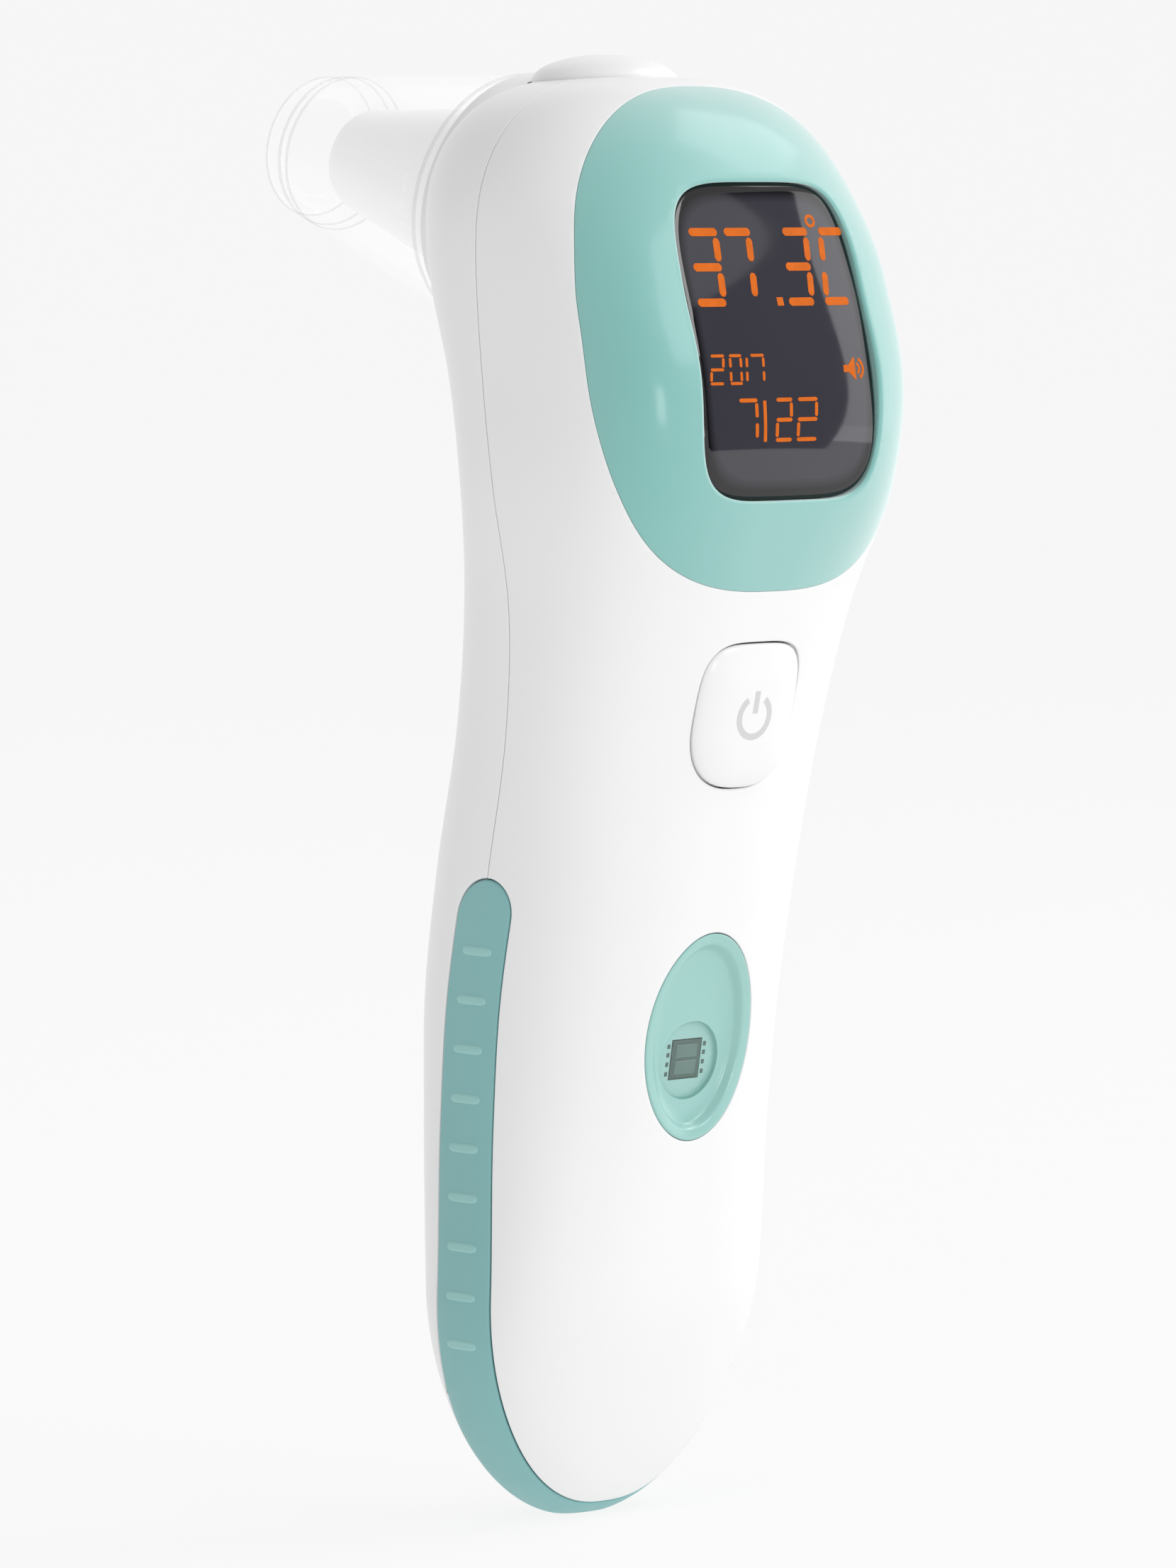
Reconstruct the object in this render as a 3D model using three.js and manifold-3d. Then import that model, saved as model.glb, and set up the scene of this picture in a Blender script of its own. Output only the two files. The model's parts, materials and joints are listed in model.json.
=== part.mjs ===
// Digital ear thermometer that also reads a pulse from a fingertip, held in one hand.
//
// Units are millimetres and +Z is up along the handle. The display and the front button face -Y,
// the ear probe points to +Y and tilts up a little, and X = 0 is the plane of symmetry. The origin
// is the middle of the small flat under the handle.
//
// The body is one smooth form: at each height its section is a rounded square whose half width,
// front, back and corner squareness follow smooth curves through a few stations. Two shells, a
// side band, a display bezel and a battery cover are cut from the skin of that form.

import * as THREE from 'three';
import { mergeVertices } from 'three/addons/utils/BufferGeometryUtils.js';
import Module from 'manifold-3d';

const wasm = await Module();
wasm.setup();

// ---------------------------------------------------------------- driving dimensions

// Body form. Columns: height, half width, parting line y, front y, back y, and the squareness
// (superellipse exponent) of the front and back halves of the section.
const STATIONS = [
  [0, 18.2, 0.0, -11.0, 9.0, 2.4, 2.4],
  [12, 18.6, -1.5, -12.3, 9.7, 2.4, 2.4],
  [24, 18.7, -2.6, -14.5, 10.7, 2.6, 2.4],
  [42, 18.2, -2.7, -17.3, 11.9, 2.6, 2.4],
  [54, 18.0, -3.5, -19.3, 12.3, 2.6, 2.4],
  [68, 18.3, -6.5, -21.9, 10.3, 2.5, 2.4],
  [82, 19.2, -10.1, -24.7, 6.5, 2.4, 2.4],
  [95, 20.3, -11.7, -28.4, 4.1, 2.6, 2.4],
  [107, 21.9, -11.1, -32.0, 2.3, 3.4, 2.4],
  [118, 22.2, -9.9, -32.2, 3.9, 4.0, 2.4],
  [127, 22.4, -9.3, -29.6, 7.5, 3.8, 2.4],
  [136, 22.4, -9.1, -27.6, 8.6, 2.7, 2.5],
  [148, 20.8, -8.7, -25.2, 7.0, 2.3, 2.8],
];
const BODY_BOTTOM = -0.5; // lowest point of the rounded form before the base flat is cut at z = 0
const BODY_TOP = 148;
const BOTTOM_ROUND = 25; // height over which the lower end closes
const TOP_ROUND = 21; // height over which the upper end closes
const BOTTOM_SQUARENESS = 2;
const TOP_SQUARENESS = 3.0;
const TOP_BACK_SQUARENESS = 4.5; // the back of the head keeps its height up to the probe

const WALL = 2.2; // shell thickness
const GAP = 0.3; // clearance between neighbouring pieces
const SEATED = 0.1; // clearance under a piece that is mounted on a board

// Side band
const BAND_HALF = 4.0;
const BAND_TOP = 67;
const RIB_COUNT = 9;
const RIB_FIRST = 19.1;
const RIB_PITCH = 5.06;
const RIB_LENGTH = 4.4;
const RIB_HEIGHT = 0.8;
const RIB_PROUD = 0.35;

// Display
const BEZEL = { z: 123, half: 21.25, up: 23.95, down: 26.65, squareUp: 2.45, squareDown: 2.8 };
const BEZEL_BACK = -13; // the bezel's skirt ends here, in front of the parting line
const WINDOW = { z: 121.5, half: 12.25, up: 15.8, down: 15.95, squareUp: 5, squareDown: 5.2 };
const LENS_INSET = 0.7;
const LENS_THICK = 1.2;
const LCD_PIVOT = { y: -21, z: 119.5 };
const LCD_TILT = THREE.MathUtils.degToRad(-8);
const LCD = { width: 24, height: 29, thick: 1.4, front: -2.2 };
const BACKLIGHT = { width: 23.4, height: 24.5, thick: 1.8, front: -0.5, up: 1.9 };
const CONTACT_STRIP = { half: 11.4, back: 5.7, low: -13.4, high: -11.2 };
const FRAME_RIM = 1.4;

// Front push button
const BUTTON = { z: 83.7, half: 6.8, up: 7.4, down: 7.4, squareUp: 4, squareDown: 2.6 };
const BUTTON_PROUD = 0.5;
const BUTTON_FLANGE = { front: -20.7, back: -19.5, lip: 1.0 };
const SWITCH_STEM_FRONT = -18.75;
const SWITCH_BODY_FRONT = -18.2;
const SWITCH_SIZE = 6;

// Scan button on the top of the head
const SCAN = { y: -4.2, halfX: 7.5, halfY: 7.4, lip: 1.0, flangeLow: 142.9, flangeHigh: 143.9 };
const SCAN_DOME = [[144.2, 1], [147.6, 1], [148.5, 0.94], [149.3, 0.78], [149.9, 0.53], [150.3, 0.16]];
const SCAN_BOARD = { z: 137, thick: 1.0, width: 14, y0: -12, y1: 1.5 };
const SCAN_SWITCH_TOP = 141.4;
const SCAN_STEM_TOP = 142.0;

// Fingertip dish with its optical pulse sensor
const DISH = { z: 50.6, halfX: 7.2, halfZ: 10.7, depth: 1.5, thick: 1.2 };
const PULSE = { z: 48.1, radius: 3.9, thick: 0.7, tilt: THREE.MathUtils.degToRad(9.7) };
const CHIP = { size: 4, thick: 1.0 };
const SENSOR_BOARD = { width: 12, height: 15, thick: 1.0 };

// Ear probe and its clear cap, turned about one tilted axis
const PROBE_Y = 8.5; // middle of the mouth that the probe comes out of
const PROBE_Z = 135;
const PROBE_TILT = THREE.MathUtils.degToRad(11);
const NOSE_MOUTH = 13.9;
const NOSE_ROOT = 15;
const NOSE_DEPTH = 12;
const PROBE_BORE = 11.9;
const CAP_GRIP = { along: 3.0, length: 1.6, across: 5.3, proud: 0.7 };

// Boards
const PCB = { halfWidth: 13, low: 79, high: 136, front: -16.7, thick: 1.2 };
const SPEAKER = { z: 93, radius: 7, thick: 3.4 };
const GRILLE = { z: 97, ring: 3.4, radius: 0.65, count: 6 };

// Batteries, their tray and the cover
const CELL = { radius: 5.25, length: 43.3, nubRadius: 1.9, nub: 1.2, x: 5.4, y: 2.1 };
const TRAY = { half: 12.1, low: 20.3, high: 71.9, front: -4.4, back: 2.8, wall: 1.0, end: 1.2 };
const CONTACT = { size: 7.2, thick: 0.4 };
const SPRING = { turns: 3, wide: 3.4, narrow: 1.9, wire: 0.3, length: 2.9 };
const COVER = { z: 46, half: 12.6, up: 34, down: 34, squareUp: 6, squareDown: 6 };
const COVER_THICK = 1.8;
const COVER_INNER_LIMIT = 3.2;
const COVER_HOLE_FRONT = 2.8;

// Screws: the ledges that they clamp lie across the ends of the battery bay, back is the face
// under the screw heads, and screw is the height of their axes
const LEDGES = [
  { low: 13.4, high: 20.0, back: 4.0, screw: 16.7 },
  { low: 72.2, high: 79.8, back: 2.8, screw: 75 },
];
const LEDGE_THICK = 1.6;
const LEDGE_HALF_WIDTH = 17;
const SCREW = { head: 1.7, headHeight: 1.2, shank: 0.8, length: 10.5, slot: 0.5, slotDepth: 0.7 };
const SCREW_X = 9.2;
const POST = { radius: 2.5, hole: 1.1, depth: 11 };
const LEDGE_HOLE = 1.2;

// Fineness of the facets
const SKIN = { around: 32, levels: 23, first: 0.5 };
const LINING = { around: 20, levels: 14, first: 1 };
const OUTLINE_POINTS = 28;
const ROUND = 24;
const SMALL_ROUND = 12;
const FAR = 60; // reach of the cutting blocks, past any part of the body

// ---------------------------------------------------------------- materials

const WHITE_SHELL = { color: 0xf4f4f2, roughness: 0.28, metalness: 0 };
const TEAL = { color: 0x86cabf, roughness: 0.3, metalness: 0 };
const BAND_TEAL = { color: 0x7fb4b0, roughness: 0.5, metalness: 0 };
const SMOKED = { color: 0x0b0b0d, roughness: 0.08, metalness: 0 };
const CLEAR = { color: 0xeef2f2, roughness: 0.1, metalness: 0, transparent: true, opacity: 0.35 };
const LCD_GLASS = { color: 0x23262b, roughness: 0.15, metalness: 0 };
const LIGHT_GUIDE = { color: 0xf7f2e4, roughness: 0.4, metalness: 0 };
const BLACK_PLASTIC = { color: 0x1b1c1e, roughness: 0.5, metalness: 0 };
const BOARD_GREEN = { color: 0x1f6b45, roughness: 0.45, metalness: 0 };
const STEEL = { color: 0xb9bcc0, roughness: 0.35, metalness: 1 };
const BRASS = { color: 0xc9a85a, roughness: 0.3, metalness: 1 };
const ALUMINIUM = { color: 0xc5c8cc, roughness: 0.4, metalness: 1 };
const CELL_WRAP = { color: 0x3c5a7d, roughness: 0.35, metalness: 0.3 };
const FLEX_FILM = { color: 0xc98a3a, roughness: 0.45, metalness: 0 };
const RED_WIRE = { color: 0xb3261e, roughness: 0.5, metalness: 0 };
const BLACK_WIRE = { color: 0x202124, roughness: 0.5, metalness: 0 };
const GREY_RUBBER = { color: 0x55585c, roughness: 0.8, metalness: 0 };

// ---------------------------------------------------------------- solids and booleans

// Turns a closed geometry into a solid, dropping the triangles that a pole squeezes flat.
function solidOf(geometry) {
  const bare = new THREE.BufferGeometry();
  bare.setAttribute('position', geometry.getAttribute('position').clone());
  if (geometry.index) bare.setIndex(geometry.index.clone());
  const merged = mergeVertices(bare, 1e-4);
  const corners = merged.index.array;
  const kept = [];
  for (let i = 0; i < corners.length; i += 3) {
    const [a, b, c] = [corners[i], corners[i + 1], corners[i + 2]];
    if (a !== b && b !== c && c !== a) kept.push(a, b, c);
  }
  return new wasm.Manifold(new wasm.Mesh({
    numProp: 3,
    vertProperties: new Float32Array(merged.getAttribute('position').array),
    triVerts: new Uint32Array(kept),
  }));
}

function geometryOf(solid) {
  const mesh = solid.getMesh();
  const geometry = new THREE.BufferGeometry();
  geometry.setAttribute('position', new THREE.BufferAttribute(mesh.vertProperties, 3));
  geometry.setIndex(new THREE.BufferAttribute(mesh.triVerts, 1));
  geometry.computeVertexNormals();
  return geometry;
}

// Skins a stack of rings with equal point counts. An open stack is closed by a fan at each end,
// and a looped one runs from its last ring back to its first.
function loft(rings, looped = false) {
  const count = rings[0].length;
  const points = rings.flat();
  const faces = [];
  const last = looped ? rings.length : rings.length - 1;
  for (let r = 0; r < last; r += 1) {
    const here = r * count;
    const next = ((r + 1) % rings.length) * count;
    for (let i = 0; i < count; i += 1) {
      const j = (i + 1) % count;
      faces.push(here + i, here + j, next + j, here + i, next + j, next + i);
    }
  }
  if (!looped) {
    [[0, true], [rings.length - 1, false]].forEach(([r, flip]) => {
      const middle = rings[r].reduce((sum, p) => sum.add(p), new THREE.Vector3()).divideScalar(count);
      const hub = points.push(middle) - 1;
      for (let i = 0; i < count; i += 1) {
        const a = r * count + i;
        const b = r * count + ((i + 1) % count);
        faces.push(hub, flip ? b : a, flip ? a : b);
      }
    });
  }
  const geometry = new THREE.BufferGeometry().setFromPoints(points);
  geometry.setIndex(signedVolume(points, faces) < 0 ? faces.reverse() : faces);
  return geometry;
}

function signedVolume(points, faces) {
  let six = 0;
  for (let i = 0; i < faces.length; i += 3) {
    const [a, b, c] = [points[faces[i]], points[faces[i + 1]], points[faces[i + 2]]];
    six += a.dot(new THREE.Vector3().crossVectors(b, c));
  }
  return six / 6;
}

// Extrudes an outline of (x, z) points between two y values.
function alongY(outline, y0, y1) {
  const prism = new THREE.ExtrudeGeometry(new THREE.Shape(outline), { depth: y1 - y0, bevelEnabled: false });
  const turn = new THREE.Matrix4().makeBasis(
    new THREE.Vector3(1, 0, 0), new THREE.Vector3(0, 0, 1), new THREE.Vector3(0, -1, 0));
  return prism.applyMatrix4(turn.setPosition(0, y1, 0));
}

// Extrudes an outline of (y, z) points between two x values.
function alongX(outline, x0, x1) {
  const prism = new THREE.ExtrudeGeometry(new THREE.Shape(outline), { depth: x1 - x0, bevelEnabled: false });
  const turn = new THREE.Matrix4().makeBasis(
    new THREE.Vector3(0, 1, 0), new THREE.Vector3(0, 0, 1), new THREE.Vector3(1, 0, 0));
  return prism.applyMatrix4(turn.setPosition(x0, 0, 0));
}

function block(x0, x1, y0, y1, z0, z1) {
  const box = new THREE.BoxGeometry(x1 - x0, y1 - y0, z1 - z0);
  return box.translate((x0 + x1) / 2, (y0 + y1) / 2, (z0 + z1) / 2);
}

// A round bar along Y.
function barAlongY(x, z, radius, y0, y1, sides = SMALL_ROUND) {
  return new THREE.CylinderGeometry(radius, radius, y1 - y0, sides).translate(x, (y0 + y1) / 2, z);
}

// A round piece turned about the Y axis, from (radius, along) pairs that close on themselves
// or start and end on the axis.
function turned(profile, sides = ROUND) {
  return new THREE.LatheGeometry(profile.map(([radius, along]) => new THREE.Vector2(radius, along)), sides);
}

// The same for a closed profile off the axis, which repeats its first point.
function turnedRing(profile, sides = ROUND) {
  return turned([...profile, profile[0]], sides);
}

// ---------------------------------------------------------------- body form

// A smooth curve through the stations: piecewise cubic, with slopes blended at each station.
function stationCurve(column) {
  const slopes = STATIONS.slice(1).map((row, i) => {
    const before = STATIONS[i];
    return (row[column] - before[column]) / (row[0] - before[0]);
  });
  const tangents = STATIONS.map((row, i) => {
    if (i === 0) return slopes[0];
    if (i === STATIONS.length - 1) return slopes[i - 1];
    const below = row[0] - STATIONS[i - 1][0];
    const above = STATIONS[i + 1][0] - row[0];
    return (slopes[i - 1] * above + slopes[i] * below) / (below + above);
  });
  return (height) => {
    const z = THREE.MathUtils.clamp(height, STATIONS[0][0], BODY_TOP);
    let i = 0;
    while (i < STATIONS.length - 2 && z > STATIONS[i + 1][0]) i += 1;
    const span = STATIONS[i + 1][0] - STATIONS[i][0];
    const t = (z - STATIONS[i][0]) / span;
    const ease = t * t * (3 - 2 * t);
    return STATIONS[i][column] * (1 - ease) + STATIONS[i + 1][column] * ease
      + span * (tangents[i] * t * (1 - t) ** 2 - tangents[i + 1] * t * t * (1 - t));
  };
}

const halfWidthAt = stationCurve(1);
const partingAt = stationCurve(2);
const frontAt = stationCurve(3);
const backAt = stationCurve(4);
const frontSquareness = stationCurve(5);
const backSquareness = stationCurve(6);

const quarterRound = (t, squareness) => (1 - Math.min(1, Math.max(0, t)) ** squareness) ** (1 / squareness);

// How far the rounded ends have closed at a height: 1 in the middle, 0 at the very end.
function endScale(z, inset, topSquareness) {
  const below = (BODY_BOTTOM + inset + BOTTOM_ROUND - z) / BOTTOM_ROUND;
  const above = (z - BODY_TOP + inset + TOP_ROUND) / TOP_ROUND;
  return quarterRound(below, BOTTOM_SQUARENESS) * quarterRound(above, topSquareness);
}

// One closed section of the body, moved inwards by inset.
function section(z, inset, around) {
  const close = endScale(z, inset, TOP_SQUARENESS);
  const closeBack = endScale(z, inset, TOP_BACK_SQUARENESS);
  const halfWidth = (halfWidthAt(z) - inset) * close;
  const middle = partingAt(z);
  const toFront = (middle - frontAt(z) - inset) * close;
  const toBack = (backAt(z) - middle - inset) * closeBack;
  return Array.from({ length: around }, (_, i) => {
    const angle = (2 * Math.PI * i) / around;
    const across = Math.cos(angle);
    const deep = Math.sin(angle);
    const squareness = deep < 0 ? frontSquareness(z) : backSquareness(z);
    const power = 2 / squareness;
    const reach = deep < 0 ? toFront : toBack;
    return new THREE.Vector3(
      halfWidth * Math.sign(across) * Math.abs(across) ** power,
      middle + reach * Math.sign(deep) * Math.abs(deep) ** power,
      z);
  });
}

// The whole body form as a solid, inset from the outer skin.
function bodyForm(inset, { around, levels, first }) {
  const low = BODY_BOTTOM + inset;
  const high = BODY_TOP - inset;
  const rings = [];
  for (let i = first; i <= levels - first; i += 1) {
    rings.push(section(low + (high - low) * (0.5 - 0.5 * Math.cos((Math.PI * i) / levels)), inset, around));
  }
  return solidOf(loft(rings));
}

// The y of the front skin at a point seen from the front.
function frontSkin(x, z) {
  const close = endScale(z, 0, TOP_SQUARENESS);
  const middle = partingAt(z);
  return middle - (middle - frontAt(z)) * close * quarterRound(Math.abs(x) / (halfWidthAt(z) * close), frontSquareness(z));
}

// ---------------------------------------------------------------- outlines

// A rounded-square outline in (x, z), with its own size and squareness above and below its middle.
function panelOutline({ z, half, up, down, squareUp, squareDown }, grow = 0) {
  return Array.from({ length: OUTLINE_POINTS }, (_, i) => {
    const angle = (2 * Math.PI * (i + 0.5)) / OUTLINE_POINTS;
    const across = Math.cos(angle);
    const high = Math.sin(angle);
    const power = 2 / (high > 0 ? squareUp : squareDown);
    const reach = (high > 0 ? up : down) + grow;
    return new THREE.Vector2(
      (half + grow) * Math.sign(across) * Math.abs(across) ** power,
      z + reach * Math.sign(high) * Math.abs(high) ** power);
  });
}

function ellipseRing(halfX, halfOther, place, points = ROUND) {
  return Array.from({ length: points }, (_, i) => {
    const angle = (2 * Math.PI * i) / points;
    return place(halfX * Math.cos(angle), halfOther * Math.sin(angle));
  });
}

// The side band's outline in (y, z): it follows the parting line and has a round upper end.
function bandOutline(grow) {
  const half = BAND_HALF + grow;
  const shoulder = BAND_TOP - BAND_HALF;
  const heights = [-5, 0, 6, 12, 20, 30, 42, 52, shoulder];
  const front = heights.map((z) => new THREE.Vector2(partingAt(z) - half, z));
  const arc = [];
  const steps = 8;
  for (let i = 1; i < steps; i += 1) {
    const angle = Math.PI * (1 - i / steps);
    const z = shoulder + half * Math.sin(angle);
    arc.push(new THREE.Vector2(partingAt(z) + half * Math.cos(angle), z));
  }
  const back = heights.map((z) => new THREE.Vector2(partingAt(z) + half, z)).reverse();
  return [...front, ...arc, ...back];
}

// Everything in front of (side -1) or behind (side 1) the parting line.
function partingSide(side) {
  const edge = [];
  for (let z = -10; z <= BODY_TOP + 10; z += 4) {
    edge.push(new THREE.Vector2(partingAt(z) + (side * GAP) / 2, z));
  }
  const outline = [...edge, new THREE.Vector2(side * FAR, BODY_TOP + 10), new THREE.Vector2(side * FAR, -10)];
  return solidOf(alongX(outline, -FAR, FAR));
}

// ---------------------------------------------------------------- probe axis

const probeFrame = new THREE.Matrix4()
  .makeRotationX(PROBE_TILT)
  .setPosition(0, PROBE_Y, PROBE_Z);

function aboutProbeAxis(geometry) {
  return solidOf(geometry.applyMatrix4(probeFrame));
}

// ---------------------------------------------------------------- housing

const skin = bodyForm(0, SKIN);
const lining = bodyForm(WALL, LINING);
const aboveBase = solidOf(block(-FAR, FAR, -FAR, FAR, 0, FAR * 3));
const bandSlot = solidOf(alongX(bandOutline(GAP / 2), -FAR, FAR));
const scanHole = solidOf(loft([140, 155].map((z) => ellipseRing(
  SCAN.halfX + GAP, SCAN.halfY + GAP, (x, y) => new THREE.Vector3(x, SCAN.y + y, z)))));

function screwPlaces() {
  return LEDGES.flatMap(({ screw: z, back }) => [-SCREW_X, SCREW_X].map((x) => ({ x, z, seat: back })));
}

function frontShell() {
  const displaySeat = solidOf(alongY(panelOutline(BEZEL, GAP / 2), -FAR, BEZEL_BACK + GAP));
  const buttonHole = solidOf(alongY(panelOutline(BUTTON, GAP), -FAR, BUTTON_FLANGE.front));
  const dishHole = solidOf(loft([-FAR, -8].map((y) => ellipseRing(
    DISH.halfX + GAP, DISH.halfZ + GAP, (x, z) => new THREE.Vector3(x, y, DISH.z + z)))));
  let shell = skin.subtract(lining).intersect(partingSide(-1)).intersect(aboveBase)
    .subtract(bandSlot).subtract(displaySeat).subtract(buttonHole).subtract(dishHole).subtract(scanHole);
  for (const { x, z, seat } of screwPlaces()) {
    const top = seat - LEDGE_THICK - GAP;
    const post = solidOf(barAlongY(x, z, POST.radius, -FAR / 2, top));
    const hole = solidOf(barAlongY(x, z, POST.hole, top - POST.depth, FAR));
    shell = shell.add(post.intersect(skin).subtract(hole));
  }
  return geometryOf(shell);
}

function rearShell() {
  const nose = aboutProbeAxis(turned([[0, -NOSE_DEPTH], [NOSE_ROOT, -NOSE_DEPTH], [NOSE_MOUTH, 0], [0, 0]], SKIN.around));
  const probeBore = aboutProbeAxis(new THREE.CylinderGeometry(PROBE_BORE, PROBE_BORE, 20, ROUND).translate(0, -8, 0));
  const coverHole = solidOf(alongY(panelOutline(COVER, GAP / 2), COVER_HOLE_FRONT, FAR));
  const beyondMouth = aboutProbeAxis(new THREE.CylinderGeometry(NOSE_MOUTH + GAP, NOSE_MOUTH + GAP, 20, SKIN.around)
    .translate(0, 10, 0));
  let shell = skin.add(nose).subtract(beyondMouth).intersect(partingSide(1)).intersect(aboveBase)
    .subtract(lining).subtract(probeBore).subtract(bandSlot).subtract(scanHole).subtract(coverHole);
  for (const { low, high, back } of LEDGES) {
    const ledge = solidOf(block(-LEDGE_HALF_WIDTH, LEDGE_HALF_WIDTH, back - LEDGE_THICK, back, low, high));
    shell = shell.add(ledge.intersect(skin));
  }
  for (const { x, z } of screwPlaces()) {
    shell = shell.subtract(solidOf(barAlongY(x, z, LEDGE_HOLE, -2, FAR)));
  }
  for (const [x, z] of grilleHoles()) {
    shell = shell.subtract(solidOf(barAlongY(x, z, GRILLE.radius, -2, FAR, 8)));
  }
  return geometryOf(shell);
}

function grilleHoles() {
  const ring = Array.from({ length: GRILLE.count }, (_, i) => {
    const angle = (2 * Math.PI * i) / GRILLE.count;
    return [GRILLE.ring * Math.cos(angle), GRILLE.z + GRILLE.ring * Math.sin(angle)];
  });
  return [[0, GRILLE.z], ...ring];
}

function sideBand() {
  const strip = solidOf(alongX(bandOutline(-GAP / 2), -FAR, FAR));
  let band = skin.subtract(lining).intersect(strip);
  for (let i = 0; i < RIB_COUNT; i += 1) {
    const z = RIB_FIRST + i * RIB_PITCH;
    const outside = halfWidthAt(z) * endScale(z, 0, TOP_SQUARENESS) + RIB_PROUD;
    const middle = partingAt(z);
    for (const side of [-1, 1]) {
      const [x0, x1] = [side * outside, side * (outside - 1.2)].sort((a, b) => a - b);
      band = band.add(solidOf(block(
        x0, x1, middle - RIB_LENGTH / 2, middle + RIB_LENGTH / 2, z - RIB_HEIGHT / 2, z + RIB_HEIGHT / 2)));
    }
  }
  return geometryOf(band.intersect(aboveBase));
}

function displayBezel() {
  const plug = solidOf(alongY(panelOutline(BEZEL, -GAP / 2), -FAR, BEZEL_BACK));
  const opening = solidOf(alongY(panelOutline(WINDOW), -FAR, 0));
  return geometryOf(skin.subtract(lining).intersect(plug).subtract(opening));
}

function displayLens() {
  const plug = solidOf(alongY(panelOutline(WINDOW, -GAP), -FAR, BEZEL_BACK));
  const outer = bodyForm(LENS_INSET, SKIN);
  const inner = bodyForm(LENS_INSET + LENS_THICK, LINING);
  return geometryOf(outer.subtract(inner).intersect(plug));
}

function batteryCover() {
  const plug = solidOf(alongY(panelOutline(COVER, -GAP / 2), COVER_INNER_LIMIT, FAR));
  const inner = bodyForm(COVER_THICK, LINING);
  return geometryOf(skin.subtract(inner).intersect(plug));
}

// ---------------------------------------------------------------- buttons and switches

function powerButton() {
  const plunger = solidOf(alongY(panelOutline(BUTTON, 0), -FAR, BUTTON_FLANGE.back));
  const flange = solidOf(alongY(panelOutline(BUTTON, BUTTON_FLANGE.lip), BUTTON_FLANGE.front + GAP, BUTTON_FLANGE.back));
  return geometryOf(bodyForm(-BUTTON_PROUD, SKIN).intersect(plunger).add(flange));
}

// A push switch along Y: a square body and a round stem in front of it.
function frontSwitch() {
  const half = SWITCH_SIZE / 2;
  const body = solidOf(block(
    -half, half, SWITCH_BODY_FRONT, PCB.front - SEATED, BUTTON.z - half, BUTTON.z + half));
  return geometryOf(body.add(solidOf(barAlongY(0, BUTTON.z, 1.5, SWITCH_STEM_FRONT, SWITCH_BODY_FRONT + 0.2))));
}

function scanButton() {
  const ring = (grow, z) => ellipseRing(
    SCAN.halfX * grow, SCAN.halfY * grow, (x, y) => new THREE.Vector3(x, SCAN.y + y, z));
  const lip = 1 + SCAN.lip / SCAN.halfX;
  const flange = [[SCAN.flangeLow, lip], [SCAN.flangeHigh, lip], [SCAN.flangeHigh, 1]];
  return loft([...flange, ...SCAN_DOME].map(([z, grow]) => ring(grow, z)));
}

function scanSwitch() {
  const half = SWITCH_SIZE / 2;
  const low = SCAN_BOARD.z + SCAN_BOARD.thick + SEATED;
  const body = solidOf(block(-half, half, SCAN.y - half, SCAN.y + half, low, SCAN_SWITCH_TOP));
  const stem = new THREE.CylinderGeometry(1.5, 1.5, SCAN_STEM_TOP - SCAN_SWITCH_TOP + 0.2, SMALL_ROUND);
  stem.rotateX(Math.PI / 2).translate(0, SCAN.y, (SCAN_STEM_TOP + SCAN_SWITCH_TOP - 0.2) / 2);
  return geometryOf(body.add(solidOf(stem)));
}

// ---------------------------------------------------------------- fingertip dish

// A bowl that starts flush with the front skin and falls to a round hole for the sensor window.
function fingerDish() {
  const steps = 4;
  const ring = (t, deeper) => Array.from({ length: ROUND }, (_, i) => {
    const angle = (2 * Math.PI * i) / ROUND;
    const hole = PULSE.radius + GAP;
    const x = THREE.MathUtils.lerp(hole, DISH.halfX, t) * Math.cos(angle);
    const z = THREE.MathUtils.lerp(PULSE.z + hole * Math.sin(angle), DISH.z + DISH.halfZ * Math.sin(angle), t);
    return new THREE.Vector3(x, frontSkin(x, z) + DISH.depth * (1 - t * t) + deeper, z);
  });
  const bowl = Array.from({ length: steps + 1 }, (_, i) => ring(i / steps, 0));
  const underside = Array.from({ length: steps + 1 }, (_, i) => ring(1 - i / steps, DISH.thick));
  return loft([...bowl, ...underside], true);
}

// ---------------------------------------------------------------- probe pieces, along the probe axis

function earProbe() {
  return turnedRing([
    [11.5, -1.6], [11.5, 2.5], [9.6, 2.9], [5.5, 23.6], [5.2, 24.6], [4.6, 25],
    [3.9, 25], [3.9, 23.9], [3.0, 23.9], [3.0, 22], [4.0, 21.6], [8.2, 3], [9.9, 1], [9.9, -1.6]]);
}

function probeCap() {
  const shell = solidOf(turnedRing([
    [13.6, 0.4], [13.6, 1.2], [13.2, 1.6], [11.0, 14.5], [7.8, 29.6], [7.4, 32.6],
    [5.2, 32.6], [5.2, 31.4], [6.2, 31.4], [6.5, 29.6], [11.9, 3.2], [11.9, 0.4]]));
  const radius = 12.7;
  const tab = (side) => solidOf(block(
    side < 0 ? -radius - CAP_GRIP.proud : radius - 0.6, side < 0 ? -radius + 0.6 : radius + CAP_GRIP.proud,
    CAP_GRIP.along - CAP_GRIP.length / 2, CAP_GRIP.along + CAP_GRIP.length / 2,
    -CAP_GRIP.across / 2, CAP_GRIP.across / 2));
  return geometryOf(shell.add(tab(-1)).add(tab(1)));
}

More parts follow.
